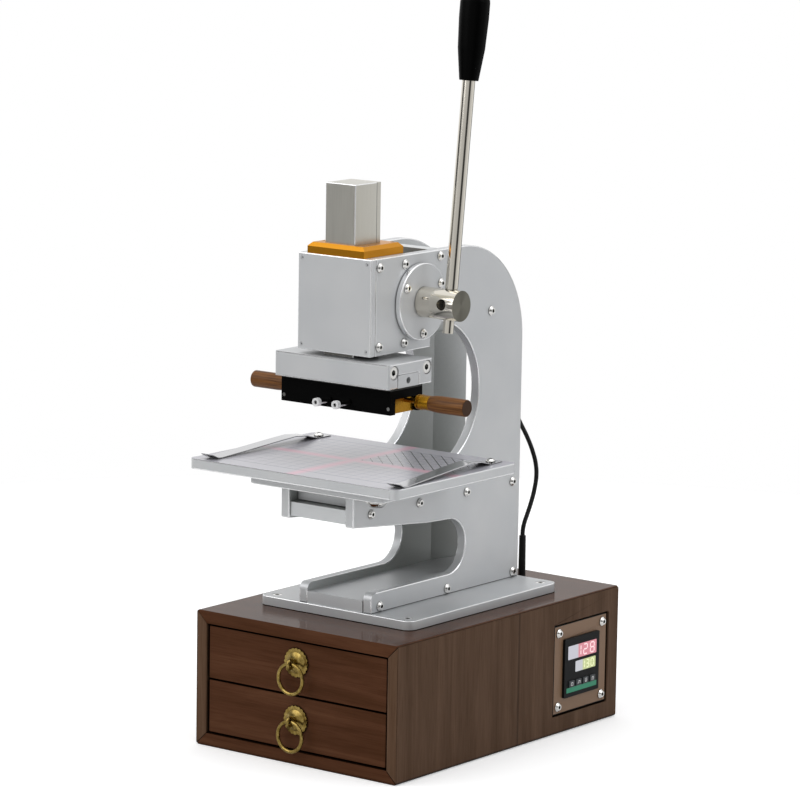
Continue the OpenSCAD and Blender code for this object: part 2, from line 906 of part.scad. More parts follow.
module base_plate() {
    color("silver")
        difference() {
            translate([0, base_y, box_h])
                linear_extrude(base_t)
                    rounded_rect(base_w, base_d, base_r);
            base_screw_places() {
                translate([0, 0, -base_t - 1])
                    cylinder(d = base_screw_d + 2 * hole_clear, h = base_t + 2);
                translate([0, 0, -base_screw_head[1]])
                    cylinder(d = base_screw_head[0] + 4 * hole_clear, h = base_screw_head[1] + 1);
            }
        }
}

// The C-shaped side plate, drawn in Y and Z: foot, column, table arm and head cheek in one piece
module side_plate_drawing() {
    cheek_front_y = head_front_y + front_plate_t;
    shoulder_z = slot_z + slot_r + shoulder_rise;
    difference() {
        union() {
            translate([cheek_back_y, base_top_z])
                square([frame_back_y - cheek_back_y, frame_h - top_round_r]);
            translate([cheek_back_y, base_top_z])
                square([frame_back_y - top_round_r - cheek_back_y, frame_h]);
            intersection() {
                translate([frame_back_y - top_round_r, frame_top_z - top_round_r])
                    circle(top_round_r, $fn = 128);
                translate([frame_back_y - top_round_r - eps, frame_top_z - top_round_r - eps])
                    square(top_round_r + 1);
            }
            translate([cheek_front_y, head_bottom_z])
                square([cheek_back_y - cheek_front_y, head_h]);
            polygon([[cheek_back_y, arm_top_z], [arm_front_y, arm_top_z], [arm_front_y, arm_tip_z],
                [cheek_back_y, shoulder_z]]);
            translate([foot_front_y, base_top_z])
                square([cheek_back_y - foot_front_y, foot_h - foot_round]);
            translate([foot_front_y + foot_round, base_top_z])
                square([cheek_back_y - foot_front_y - foot_round, foot_h]);
            translate([foot_front_y + foot_round, foot_top_z - foot_round])
                circle(foot_round);
        }
        throat_drawing();
        polygon([[cheek_back_y - eps, foot_top_z], [slot_y, foot_top_z], [slot_y, foot_top_z + 2 * slot_r],
            [cheek_back_y - eps, shoulder_z]]);
        translate([slot_y, slot_z])
            circle(slot_r);
        for (p = side_screws)
            translate(p)
                circle(d = screw_hole_d);
        for (p = flange_screws)
            translate(p)
                circle(d = screw_hole_d);
        translate([pinion_y, pinion_z])
            circle(d = spigot_d + 2 * hole_clear);
    }
}

// The throat: a large arc, a flat bay for the table and a fillet behind the cheek
module throat_drawing() {
    fillet_y = cheek_back_y + throat_fillet;
    fillet_run = fillet_y - throat_y;
    fillet_z = throat_z + sqrt(throat_r * throat_r - fillet_run * fillet_run) - throat_fillet;
    difference() {
        intersection() {
            translate([throat_y, throat_z])
                circle(throat_r, $fn = 128);
            translate([cheek_back_y, throat_z - throat_r])
                square(2 * throat_r);
        }
        difference() {
            translate([cheek_back_y - eps, fillet_z])
                square([throat_fillet + eps, 2 * throat_fillet]);
            translate([fillet_y, fillet_z])
                circle(throat_fillet);
        }
    }
    translate([cheek_back_y, arm_top_z])
        square([bench_stop_y - cheek_back_y, throat_z - arm_top_z]);
}

module left_side_plate() {
    color("silver")
        along_x(-frame_x, -inner_x)
            side_plate_drawing();
}

module right_side_plate() {
    color("silver")
        along_x(inner_x, frame_x)
            side_plate_drawing();
}

module base_block() {
    color("silver")
        difference() {
            block([-inner_x, foot_front_y, base_top_z],
                [inner_x - base_block_seam, block_back_y, base_top_z + base_block_h]);
            tapped_holes(block_screws);
        }
}

// Tie plate under the table, tie at the top of the head, the round rear spacer and two tapered strips
// that stiffen the left plate's rear edge
module frame_cross_bars() {
    color("silver")
        difference() {
            union() {
                block([-inner_x, tie_front_y, tie_top_z - tie_t], [inner_x, tie_back_y, tie_top_z]);
                block([-inner_x, head_tie_y - head_tie_d / 2, head_tie_z - head_tie_h / 2],
                    [inner_x, head_tie_y + head_tie_d / 2, head_tie_z + head_tie_h / 2]);
                translate([0, spacer_y, spacer_z])
                    x_rod(spacer_d, -inner_x, inner_x);
                for (span = edge_bar_spans)
                    translate([-inner_x, frame_back_y - edge_bar_drop, span[0]])
                        linear_extrude(span[1] - span[0])
                            polygon([[0, 0], [0, -edge_bar[1]], [edge_bar[0], 0]]);
            }
            tapped_holes(concat(tie_screws, bar_screws));
        }
}

module front_plate_corners() {
    for (x = [-1, 1])
        for (z = [head_bottom_z + 4, frame_top_z - 4])
            translate([x * (frame_x - plate_t / 2), head_front_y, z])
                children();
}

module head_front_plate() {
    color("silver")
        difference() {
            block([-frame_x, head_front_y, head_bottom_z],
                [frame_x, head_front_y + front_plate_t, frame_top_z]);
            front_plate_corners()
                y_rod(edge_screw_d + 2 * hole_clear, -1, front_plate_t + 1);
        }
}

// Two gibs beside the bar, each with a lip behind the rack and a relief for the bearing spigot
module ram_gibs() {
    color("darkgoldenrod")
        difference() {
            for (side = [-1, 1])
                translate([0, 0, head_bottom_z + pass_clear])
                    linear_extrude(head_h - pass_clear)
                        polygon([[side * inner_x, head_front_y + front_plate_t],
                            [side * (bar_w / 2 + slide_clear), head_front_y + front_plate_t],
                            [side * (bar_w / 2 + slide_clear), rack_back_y + slide_clear],
                            [side * gib_lip_x, rack_back_y + slide_clear],
                            [side * gib_lip_x, gib_back_y],
                            [side * inner_x, gib_back_y]]);
            tapped_holes(gib_screws);
            translate([0, pinion_y, pinion_z])
                x_rod(spigot_d + 2 * pass_clear, -inner_x - 1, inner_x + 1);
            cap_screw_places()
                translate([0, 0, -cap_h - cap_screw_grip - pass_clear])
                    cylinder(d = edge_screw_d + 2 * hole_clear, h = cap_h + cap_screw_grip);
        }
}

module cap_screw_places() {
    for (x = [-1, 1])
        for (y = [bar_front_y + 8, cap_back_y - cap_screw_inset])
            translate([x * (cap_w / 2 - cap_screw_inset), y, frame_top_z + cap_h])
                children();
}

// Anodised guide cap round the bar, chamfered along its top
module guide_cap() {
    mid_y = (cap_front_y + cap_back_y) / 2;
    half_d = (cap_back_y - cap_front_y) / 2;
    color("goldenrod")
        difference() {
            intersection() {
                along_y(cap_front_y, cap_back_y)
                    cap_section(cap_w / 2);
                translate([0, mid_y, 0])
                    along_x(-cap_w / 2, cap_w / 2)
                        cap_section(half_d);
            }
            block([-bar_w / 2 - slide_clear, bar_front_y - slide_clear, frame_top_z - 1],
                [bar_w / 2 + slide_clear, rack_back_y + slide_clear, frame_top_z + cap_h + 1]);
            cap_screw_places()
                translate([0, 0, -cap_h - 1])
                    cylinder(d = edge_screw_d + 2 * hole_clear, h = cap_h + 2);
        }
}

module cap_section(half) {
    polygon([[-half, frame_top_z], [half, frame_top_z], [half, frame_top_z + cap_h - cap_chamfer],
        [half - cap_chamfer, frame_top_z + cap_h], [-half + cap_chamfer, frame_top_z + cap_h],
        [-half, frame_top_z + cap_h - cap_chamfer]]);
}

// Flanges on the outside of the plates, with a spigot through each plate and a bore for the shaft
module bearing_flanges() {
    color("silver")
        for (side = [-1, 1])
            difference() {
                translate([0, pinion_y, pinion_z])
                    mirror([side < 0 ? 1 : 0, 0, 0])
                        difference() {
                            union() {
                                x_rod(flange_d, frame_x, frame_x + flange_t);
                                x_rod(spigot_d, collar_x, frame_x + eps);
                            }
                            x_rod(shaft_d + 2 * run_clear, collar_x - 1, frame_x + flange_t + 1);
                        }
                for (p = flange_screws)
                    translate([0, p[0], p[1]])
                        x_rod(screw_hole_d, -2 * frame_x, 2 * frame_x);
            }
}

module frame_screws() {
    color("gainsboro")
        for (side = [0, 1])
            mirror([side, 0, 0]) {
                plate_screw_set(side_screws, frame_x, plate_t + screw_grip);
                plate_screw_set(flange_screws, frame_x + flange_t, flange_t + plate_t - 1);
            }
}

// Base plate screws, and the small flush screws of the front plate and the cap
module small_screws() {
    color("gainsboro") {
        base_screw_places()
            difference() {
                union() {
                    translate([0, 0, 1 - base_t - panel_t])
                        cylinder(d = base_screw_d, h = base_t + panel_t - 1 - base_screw_head[1] + eps);
                    translate([0, 0, -base_screw_head[1]])
                        cylinder(d = base_screw_head[0], h = base_screw_head[1] - flush_drop);
                }
                translate([0, 0, -1.8])
                    cylinder(d = base_screw_head[0] * 0.5, h = 2, $fn = 6);
            }
        front_plate_corners()
            difference() {
                y_rod(edge_screw_d, flush_drop, front_plate_t);
                y_rod(edge_screw_d * 0.55, -1, 1.4, $fn = 6);
            }
        cap_screw_places()
            difference() {
                translate([0, 0, -cap_h - cap_screw_grip])
                    cylinder(d = edge_screw_d, h = cap_h + cap_screw_grip - flush_drop);
                translate([0, 0, -1.4])
                    cylinder(d = edge_screw_d * 0.55, h = 2, $fn = 6);
            }
    }
}

// Heater lead

function lead_point(i) = let (p = lead_route[max(0, min(len(lead_route) - 1, i))]) [lead_x, p[0], p[1]];
function lead_spline(a, b, c, d, t) = 0.5 * (2 * b + (c - a) * t + (2 * a - 5 * b + 4 * c - d) * t * t
    + (3 * b - a - 3 * c + d) * t * t * t);
function lead_centres() = [
    for (i = [0 : len(lead_route) - 2])
        for (s = [0 : lead_steps - 1])
            lead_spline(lead_point(i - 1), lead_point(i), lead_point(i + 1), lead_point(i + 2),
                s / lead_steps),
    lead_point(len(lead_route) - 1)];
function unit(v) = v / norm(v);
function lead_ahead(c, i) = i == 0 ? lead_point(1) - lead_point(0)
    : i == len(c) - 1 ? lead_point(len(lead_route) - 1) - lead_point(len(lead_route) - 2)
    : c[i + 1] - c[i - 1];

// A tube swept along the route, all of which lies in one plane across X
module heater_lead() {
    c = lead_centres();
    n = lead_sides;
    rings = len(c);
    points = [for (i = [0 : rings - 1])
        let (side = cross(unit(lead_ahead(c, i)), [1, 0, 0]))
            for (k = [0 : n - 1])
                c[i] + lead_d / 2 * (cos(k * 360 / n) * [1, 0, 0] + sin(k * 360 / n) * side)];
    walls = [for (i = [0 : rings - 2])
        for (k = [0 : n - 1])
            let (a = i * n + k, b = i * n + (k + 1) % n)
                each [[a, a + n, b], [b, a + n, b + n]]];
    first_cap = [for (k = [1 : n - 2]) [0, k, k + 1]];
    last_cap = [for (k = [1 : n - 2]) [(rings - 1) * n, (rings - 1) * n + k + 1, (rings - 1) * n + k]];
    color("black")
        polyhedron(points, concat(walls, first_cap, last_cap));
}

// A clip round the rear spacer, with a boss that the lead comes out of
module lead_clamp() {
    boss_angle = atan2(-lead_slope[1], lead_slope[0]);
    color("black")
        translate([lead_x, spacer_y, spacer_z])
            difference() {
                union() {
                    x_rod(spacer_d + 2 * clamp_wall, -clamp_w / 2, clamp_w / 2);
                    rotate([-boss_angle, 0, 0])
                        y_rod(clamp_boss_d, 0, norm(lead_route[0] - [spacer_y, spacer_z]));
                }
                x_rod(spacer_d + 2 * hole_clear, -clamp_w, clamp_w);
            }
}

module lead_boot() {
    color("black")
        translate([lead_x, boot_y, box_h]) {
            cylinder(d1 = boot_d, d2 = boot_d * 0.9, h = boot_h);
            translate([0, 0, -panel_t])
                cylinder(d = boot_spigot_d, h = panel_t + eps);
        }
}

// Lever, shaft and pinion

// Moves to the lever's own axis: +Z along the lever, the front of the hub towards -Y
module on_lever() {
    translate([lever_x, pinion_y, pinion_z])
        rotate([-lever_lean, 0, 0])
            children();
}

module pinion_shaft() {
    color("lightgray")
        difference() {
            translate([0, pinion_y, pinion_z]) {
                x_rod(shaft_d, shaft_end_x, hub_start_x + eps);
                x_rod(hub_d, hub_start_x, hub_end_x);
            }
            on_lever() {
                translate([0, 0, -hub_d])
                    cylinder(d = lever_seat_d, h = 2 * hub_d);
                y_rod(lever_seat_d, -hub_d, -hub_d / 2 + cross_hole_l);
            }
        }
}

// Half the angle that a tooth covers at a radius, on an involute flank
base_r_gear = pitch_r * cos(pressure_angle);
function involute(r) = let (a = acos(min(1, base_r_gear / r))) tan(a) * 180 / PI - a;
function polar(r, a) = [r * cos(a), r * sin(a)];
pitch_half_angle = (tooth_pitch / 2 - backlash) / (2 * pitch_r) * 180 / PI;
function tooth_half_angle(r) = pitch_half_angle + involute(pitch_r) - involute(max(r, base_r_gear));

module pinion() {
    radii = [pitch_r - tooth_root, base_r_gear, pitch_r, tip_r];
    outline = [for (k = [0 : pinion_teeth - 1])
        let (mid = 180 + k * 360 / pinion_teeth)
            each concat(
                [for (r = radii) polar(r, mid - tooth_half_angle(r))],
                [for (j = [len(radii) - 1 : -1 : 0]) polar(radii[j], mid + tooth_half_angle(radii[j]))])];
    color("gray")
        translate([0, pinion_y, pinion_z])
            difference() {
                along_x(-pinion_w / 2, pinion_w / 2)
                    polygon(outline);
                x_rod(shaft_d + 2 * run_clear, -pinion_w, pinion_w);
            }
}

// The wound return spring round the shaft, as the sleeve that its turns fill
module return_spring() {
    color("dimgray")
        translate([0, pinion_y, pinion_z])
            difference() {
                x_rod(spigot_d - 4, -collar_x, -pinion_w / 2 - spring_gap);
                x_rod(shaft_d + 4, -collar_x - 1, 0);
            }
}

module lever_rod() {
    color("lightgray")
        on_lever() {
            translate([0, 0, -hub_d / 2 - lever_stub])
                cylinder(d = lever_seat_d - 2 * run_clear, h = hub_d + lever_stub + 1);
            translate([0, 0, hub_d / 2 + run_clear])
                cylinder(d = lever_d, h = lever_l + knob_grip - hub_d / 2);
        }
}

module lever_knob() {
    neck_r = lever_d / 2 + 2.4;
    shoulder_r = knob_d / 2 - 1;
    top_round = knob_d / 2 - 3;
    color("black")
        on_lever()
            translate([0, 0, lever_l])
                difference() {
                    rotate_extrude()
                        polygon(concat(
                            [[0, 0], [neck_r, 0], [shoulder_r, knob_l * 0.36], [knob_d / 2, knob_l * 0.7]],
                            [for (a = [0 : 15 : 90])
                                [knob_d / 2 - top_round, knob_l - top_round] + polar(top_round, a)],
                            [[0, knob_l]]));
                    translate([0, 0, -1])
                        cylinder(d = lever_d + 2 * hole_clear, h = knob_grip + 1 + pass_clear);
                }
}

// Ram

module ram_bar() {
    color("silver")
        block([-bar_w / 2, bar_front_y, bar_bottom_z], [bar_w / 2, bar_back_y, bar_top_z]);
}

// A rack with its teeth cut between two plain edges, in mesh with the pinion at rest
module rack() {
    half_groove = (tooth_pitch / 2 + backlash) / 2;
    slope = tan(pressure_angle);
    tip_half = half_groove + (tooth_module + eps) * slope;
    root_half = half_groove - tooth_root * slope;
    color("gray")
        difference() {
            block([-bar_w / 2, bar_back_y, bar_bottom_z + eps], [bar_w / 2, rack_back_y, bar_top_z]);
            for (k = [first_groove : last_groove])
                translate([0, 0, pinion_z + k * tooth_pitch])
                    along_x(-tooth_zone_x, tooth_zone_x)
                        polygon([[rack_back_y + eps, -tip_half], [rack_back_y + eps, tip_half],
                            [pitch_y - tooth_root, root_half], [pitch_y - tooth_root, -root_half]]);
        }
}

module platen_screw_places() {
    for (side = [-1, 1])
        for (y = [-platen_screw_y, platen_screw_y])
            translate([side * platen_l / 2, platen_y + y, bar_bottom_z - platen_screw_drop])
                mirror([side < 0 ? 1 : 0, 0, 0])
                    children();
}

module platen() {
    color("silver")
        difference() {
            translate([0, platen_y, platen_bottom_z])
                linear_extrude(platen_t)
                    rounded_rect(platen_l, platen_d, 2);
            block([-platen_l, carrier_y - carrier_w / 2 - slide_clear, platen_bottom_z - 1],
                [platen_l, carrier_y + carrier_w / 2 + slide_clear, platen_bottom_z + carrier_h]);
            platen_screw_places() {
                x_rod(platen_counterbore[0], -platen_counterbore[1], 1);
                x_rod(platen_screw_d + 2 * hole_clear, -platen_screw_l - 1, 0);
            }
        }
}

module heater_carrier() {
    color("silver")
        difference() {
            block([-platen_l / 2, carrier_y - carrier_w / 2, platen_bottom_z],
                [platen_l / 2, carrier_y + carrier_w / 2, platen_bottom_z + carrier_h]);
            translate([0, carrier_y, platen_bottom_z + carrier_h / 2])
                for (side = [-1, 1])
                    translate([side * (platen_l - carrier_hole_l) / 2, 0, 0])
                        x_rod(carrier_hole_d, -carrier_hole_l / 2 - eps, carrier_hole_l / 2 + eps);
        }
}

module insulation_board() {
    color("saddlebrown")
        block([-heater_l / 2, heater_y - heater_d / 2, heater_top_z],
            [heater_l / 2, heater_y + heater_d / 2, platen_bottom_z]);
}

module cartridge_places() {
    for (y = [-cartridge_gap_y, cartridge_gap_y])
        translate([0, holder_y + y, (heater_z + holder_h + 2 * slide_clear + heater_top_z) / 2])
            children();
}

module clamp_screw_places() {
    for (x = clamp_screw_x)
        translate([x, heater_y - heater_d / 2, heater_z + clamp_screw_rise])
            children();
}

module edge_screw_places() {
    for (x = [-1, 1])
        translate([x * (heater_l / 2 - edge_screw_inset), heater_y - heater_d / 2,
            heater_z + edge_screw_rise])
            children();
}

// The black block with a slot under it for the die plate
module heater_block() {
    slot_low_y = holder_y - holder_slot_d / 2;
    color("black")
        difference() {
            block([-heater_l / 2, heater_y - heater_d / 2, heater_z],
                [heater_l / 2, heater_y + heater_d / 2, heater_top_z]);
            block([-heater_l, slot_low_y, heater_z - 1],
                [heater_l, slot_low_y + holder_slot_d, heater_z + holder_h + 2 * slide_clear]);
            cartridge_places()
                x_rod(cartridge_d + 2 * run_clear, -heater_l, cartridge_l / 2);
            clamp_screw_places()
                y_rod(screw_hole_d, -1, heater_d / 2);
            edge_screw_places()
                y_rod(edge_screw_d + 2 * hole_clear, -1, edge_screw_l);
        }
}

module heater_cartridges() {
    color("lightgray")
        cartridge_places()
            x_rod(cartridge_d, -cartridge_l / 2, cartridge_l / 2 - pass_clear);
}

// Platen end screws, the two clamp screws of the die plate and the small screws of the block
module press_screws() {
    clamp_tip_y = holder_y - holder_slot_d / 2 - (heater_y - heater_d / 2);
    seat_x = -platen_counterbore[1];
    color("gainsboro") {
        platen_screw_places()
            difference() {
                union() {
                    x_rod(platen_screw_head[0], seat_x, seat_x + platen_screw_head[1]);
                    x_rod(platen_screw_d, -platen_screw_l, seat_x + eps);
                }
                x_rod(platen_screw_head[0] / 2, seat_x + platen_screw_head[1] / 2, 1, $fn = 6);
            }
        clamp_screw_places()
            difference() {
                union() {
                    y_rod(screw_d, -clamp_screw_out, clamp_tip_y - slide_clear);
                    y_rod(clamp_head[0], -clamp_screw_out - clamp_head[1], -clamp_screw_out);
                }
                translate([0, -clamp_screw_out - clamp_head[1], 0])
                    y_rod(clamp_head[0] / 2, -1, clamp_head[1] / 2, $fn = 6);
            }
        edge_screw_places()
            y_rod(edge_screw_d, flush_drop, edge_screw_l - pass_clear);
    }
}

// Die holder

module die_plate() {
    color("goldenrod")
        difference() {
            block([holder_x - holder_l / 2, holder_y - holder_d / 2, heater_z],
                [holder_x + holder_l / 2, holder_y + holder_d / 2, heater_z + holder_h]);
            handle_places()
                x_rod(stud_d + 2 * hole_clear, -stud_seat - pass_clear, 1);
        }
}

// The two ends of the die plate, with +X outwards
module handle_places() {
    for (side = [0, 1])
        translate([holder_x, stud_y, stud_z])
            mirror([side, 0, 0])
                translate([holder_l / 2, 0, 0])
                    children();
}

// A stud with its collars and its ferrule
module handle_ferrules() {
    color("goldenrod")
        handle_places() {
            x_rod(stud_d, -stud_seat, stud_l + ferrule_l + stud_in_handle);
            x_rod(ring_step[0], stud_l, stud_l + ring_step[1]);
            x_rod(ring_step[0] - 1.6, stud_l, stud_l + 2 * ring_step[1]);
            x_rod(ferrule_d + 0.6, stud_l + 2 * ring_step[1] - eps, stud_l + 3 * ring_step[1]);
            x_rod(ferrule_d, stud_l + 3 * ring_step[1] - eps, stud_l + ferrule_l);
        }
}

// Turned wooden handles: a short neck, then one thickness to the flat end
module die_handles() {
    color("sienna")
        handle_places()
            translate([stud_l + ferrule_l, 0, 0])
                rotate([0, 90, 0])
                    difference() {
                        rotate_extrude()
                            polygon(concat(
                                [[0, 0], [ferrule_d / 2, 0], [handle_d / 2 - 0.3, handle_l * 0.12],
                                    [handle_d / 2, handle_l * 0.3]],
                                [for (a = [0 : 30 : 90])
                                    [handle_d / 2 - handle_end_r + handle_end_r * cos(a),
                                        handle_l - handle_end_r + handle_end_r * sin(a)]],
                                [[0, handle_l]]));
                        translate([0, 0, -1])
                            cylinder(d = stud_d + 2 * hole_clear, h = stud_in_handle + 1 + pass_clear);
                    }
}

// Work table

module clip_places() {
    for (side = [-1, 1])
        translate([side * clip_x, clip_screw_y, table_top_z])
            children();
}

// The carrier's screws, their heads sunk into its underside
module bench_screw_places() {
    for (x = [-1, 1])
        for (y = [bench_y - bench_d / 2 + bench_screw_inset[0], bench_back_y - bench_screw_inset[1]])
            translate([x * bench_screw_x, y, bench_z + bench_screw[2] + pass_clear])
                mirror([0, 0, 1])
                    children();
}

// The lock screw beside the right-hand arm, its head under the carrier
module bench_lock_place() {
    translate([bench_lock[0], bench_lock[1], bench_z])
        mirror([0, 0, 1])
            children();
}

// The table plate with the screws that hold it and its clips, each a solid of its own
module table_plate() {
    screw_rise = bench_t + table_t * 0.6 - bench_screw[2];
    color("silver") {
        difference() {
            translate([0, table_y, table_z])
                linear_extrude(table_t)
                    rounded_rect(table_w, table_d, table_r);
            clip_places()
                translate([0, 0, -table_t - 1])
                    cylinder(d = screw_hole_d, h = table_t + 2);
            bench_screw_places()
                translate([0, 0, -screw_rise - pass_clear])
                    cylinder(d = bench_screw[0] + 2 * hole_clear, h = screw_rise);
        }
        clip_places()
            translate([0, 0, clip_t + 2 * clip_lift])
                button_screw(screw_d, screw_head_d, screw_head_h, table_t);
        bench_screw_places()
            button_screw(bench_screw[0], bench_screw[1], bench_screw[2], screw_rise);
        bench_lock_place()
            button_screw(bench_lock_screw[0], bench_lock_screw[1], bench_lock_screw[2],
                bench_t - pass_clear);
    }
}

// Carrier under the table, with a tongue that runs between the arms
module table_carrier() {
    color("silver")
        difference() {
            union() {
                translate([0, bench_y, bench_z])
                    linear_extrude(bench_t)
                        rounded_rect(bench_w, bench_d, bench_r);
                block([-tongue_w / 2, tongue_front_y, tongue_z],
                    [tongue_w / 2, bench_back_y, bench_z + eps]);
            }
            bench_screw_places() {
                translate([0, 0, -bench_t])
                    cylinder(d = bench_screw[0] + 2 * hole_clear, h = bench_t + 1);
                cylinder(d = bench_screw[1] + 2 * pass_clear, h = 2 * bench_screw[2]);
            }
            bench_lock_place()
                translate([0, 0, -bench_t - 1])
                    cylinder(d = bench_lock_screw[0] + 2 * hole_clear, h = bench_t + 2);
        }
}

// A leaf spring: flat under its screw, over a hump, down to the table and up again at the tip
clip_back = 8;
clip_line = [[clip_back, 0], [-9, 0], [-22, clip_hump * 0.72], [-36, clip_hump], [-52, clip_hump * 0.86],
    [-127, 0.2], [-132, 0.8], [-138, 3.6]];

module spring_clip(side, turn) {
    top = [for (i = [len(clip_line) - 1 : -1 : 0]) clip_line[i] + [0, clip_t]];
    color("gainsboro")
        translate([side * clip_x, clip_screw_y, table_top_z + clip_lift])
            rotate(turn)
                difference() {
                    along_x(-clip_w / 2, clip_w / 2)
                        polygon(concat(clip_line, top));
                    translate([0, 0, -1])
                        cylinder(d = screw_d + 2 * run_clear, h = clip_t + 2);
                }
}

module left_clip() { spring_clip(-1, 0); }
module right_clip() { spring_clip(1, right_clip_turn); }

box_bottom();
box_top();
box_left_side();
box_right_side();
box_back_panel();
cabinet_divider();
drawer_runners();
upper_drawer_front();
upper_drawer_box();
upper_pull();
upper_ring();
lower_drawer_front();
lower_drawer_box();
lower_pull();
lower_ring();
control_panel();
panel_screws();
controller_case();
controller_front();
key_1();
key_2();
key_3();
key_4();
power_inlet();
power_rocker();
solid_state_relay();
base_plate();
left_side_plate();
right_side_plate();
base_block();
frame_cross_bars();
head_front_plate();
ram_gibs();
guide_cap();
bearing_flanges();
frame_screws();
small_screws();
lead_clamp();
heater_lead();
lead_boot();
pinion_shaft();
pinion();
return_spring();
lever_rod();
lever_knob();
ram_bar();
rack();
platen();
heater_carrier();
insulation_board();
heater_block();
heater_cartridges();
press_screws();
die_plate();
handle_ferrules();
die_handles();
table_plate();
table_carrier();
left_clip();
right_clip();
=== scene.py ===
"""Looks of the hot foil stamping machine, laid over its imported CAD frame."""
import json
import math

import bpy
from mathutils import Matrix, Vector

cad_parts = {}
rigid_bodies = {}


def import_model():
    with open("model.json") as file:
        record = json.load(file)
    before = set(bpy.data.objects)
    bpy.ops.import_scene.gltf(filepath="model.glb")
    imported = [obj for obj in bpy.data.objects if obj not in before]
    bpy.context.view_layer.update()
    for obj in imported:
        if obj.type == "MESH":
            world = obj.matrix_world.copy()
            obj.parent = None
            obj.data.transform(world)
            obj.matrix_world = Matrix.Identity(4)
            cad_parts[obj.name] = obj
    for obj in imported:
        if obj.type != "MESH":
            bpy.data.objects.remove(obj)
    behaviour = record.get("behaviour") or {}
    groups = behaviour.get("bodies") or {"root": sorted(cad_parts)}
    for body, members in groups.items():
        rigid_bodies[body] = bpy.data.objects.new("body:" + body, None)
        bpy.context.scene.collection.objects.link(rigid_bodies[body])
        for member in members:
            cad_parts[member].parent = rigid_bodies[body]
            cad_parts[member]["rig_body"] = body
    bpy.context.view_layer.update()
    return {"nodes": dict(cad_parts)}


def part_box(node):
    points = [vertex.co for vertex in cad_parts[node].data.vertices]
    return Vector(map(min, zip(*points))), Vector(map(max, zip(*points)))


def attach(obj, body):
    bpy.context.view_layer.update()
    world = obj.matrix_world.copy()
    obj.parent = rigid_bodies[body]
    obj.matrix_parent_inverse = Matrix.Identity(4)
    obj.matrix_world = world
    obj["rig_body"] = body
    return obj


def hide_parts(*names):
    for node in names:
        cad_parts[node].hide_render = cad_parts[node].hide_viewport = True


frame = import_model()


# Camera: a long lens some three metres off to the front right, a little higher than the machine.
# Aim, distance and the slight roll come from fitting the corners of box, base plate and table.
camera_azimuth = math.radians(37.34)
camera_elevation = math.radians(9.55)
camera_roll = math.radians(0.92)
camera_distance = 3.2315
camera_lens = 184.7
camera_aim = Vector((-0.0086, -0.0079, 0.26665))

camera_back = Vector((math.sin(camera_azimuth) * math.cos(camera_elevation),
                      -math.cos(camera_azimuth) * math.cos(camera_elevation),
                      math.sin(camera_elevation)))
level_right = Vector((math.cos(camera_azimuth), math.sin(camera_azimuth), 0))
level_up = camera_back.cross(level_right)
camera_right = level_right * math.cos(camera_roll) + level_up * math.sin(camera_roll)
camera_up = camera_back.cross(camera_right)
camera_data = bpy.data.cameras.new("camera")
camera_data.lens = camera_lens
camera_data.clip_end = 20
camera = bpy.data.objects.new("camera", camera_data)
bpy.context.collection.objects.link(camera)
camera.matrix_world = (Matrix.Translation(camera_aim + camera_back * camera_distance)
                       @ Matrix((camera_right, camera_up, camera_back)).transposed().to_4x4())
bpy.context.scene.camera = camera


# Heater lead: a round black rubber cable that hangs from its clamp at the back of the head,
# bows out behind the column and goes down into a straight rubber boot on the box's top.
lead_diameter = 0.0036
lead_x = 0.022
lead_route = [
    (0.0600, 0.3210), (0.0630, 0.3160), (0.0660, 0.3110), (0.0720, 0.3010), (0.0800, 0.2880),
    (0.0900, 0.2705), (0.1010, 0.2525), (0.1130, 0.2360), (0.1230, 0.2230), (0.1310, 0.2100),
    (0.1355, 0.1990), (0.1365, 0.1900), (0.1345, 0.1800), (0.1300, 0.1690), (0.1250, 0.1600),
    (0.1210, 0.1530), (0.1193, 0.1480), (0.1190, 0.1455), (0.1190, 0.1430),
]


def linear(code):
    """Linear colour of an sRGB hex code."""
    values = [int(code[i:i + 2], 16) / 255 for i in (0, 2, 4)]
    return tuple(v / 12.92 if v <= 0.04045 else ((v + 0.055) / 1.055) ** 2.4 for v in values) + (1.0,)


def add_node(tree, kind, inputs=(), stops=(), **settings):
    """Add a shader node with its settings and colour stops; each input takes a value or a link."""
    node = tree.nodes.new("ShaderNode" + kind)
    for name, value in settings.items():
        setattr(node, name, value)
    if stops:
        ramp = node.color_ramp.elements
        for element, (position, code) in zip(ramp, (stops[0], stops[-1])):
            element.position = position
            element.color = linear(code)
        for position, code in stops[1:-1]:
            ramp.new(position).color = linear(code)
    for socket, value in dict(inputs).items():
        if isinstance(value, bpy.types.NodeSocket):
            tree.links.new(value, node.inputs[socket])
        else:
            node.inputs[socket].default_value = value
    return node


def start_finish(name, constants):
    """A new material, its node tree and its shader, with the shader's constant values set."""
    finish = bpy.data.materials.new(name)
    finish.use_nodes = True
    shader = finish.node_tree.nodes["Principled BSDF"]
    for socket, value in constants.items():
        shader.inputs[socket].default_value = value
    return finish, finish.node_tree, shader


# Extruded black rubber: almost black, with a broad dull highlight and a faint grainy skin
# (the real grain of about 0.1 mm is drawn at 0.6 mm so that it shows).
rubber_grain = 0.0006
black_rubber, tree, shader = start_finish("black_rubber", {"Base Color": linear("080808"), "Roughness": 0.5,
                                                          "Specular IOR Level": 0.25})
place = add_node(tree, "TexCoord")
grain = add_node(tree, "TexNoise", {"Vector": place.outputs["Object"], "Scale": 1 / rubber_grain,
                                    "Detail": 2.0})
skin = add_node(tree, "Bump", {"Height": grain.outputs["Fac"], "Strength": 0.15, "Distance": 0.0001})
tree.links.new(skin.outputs["Normal"], shader.inputs["Normal"])

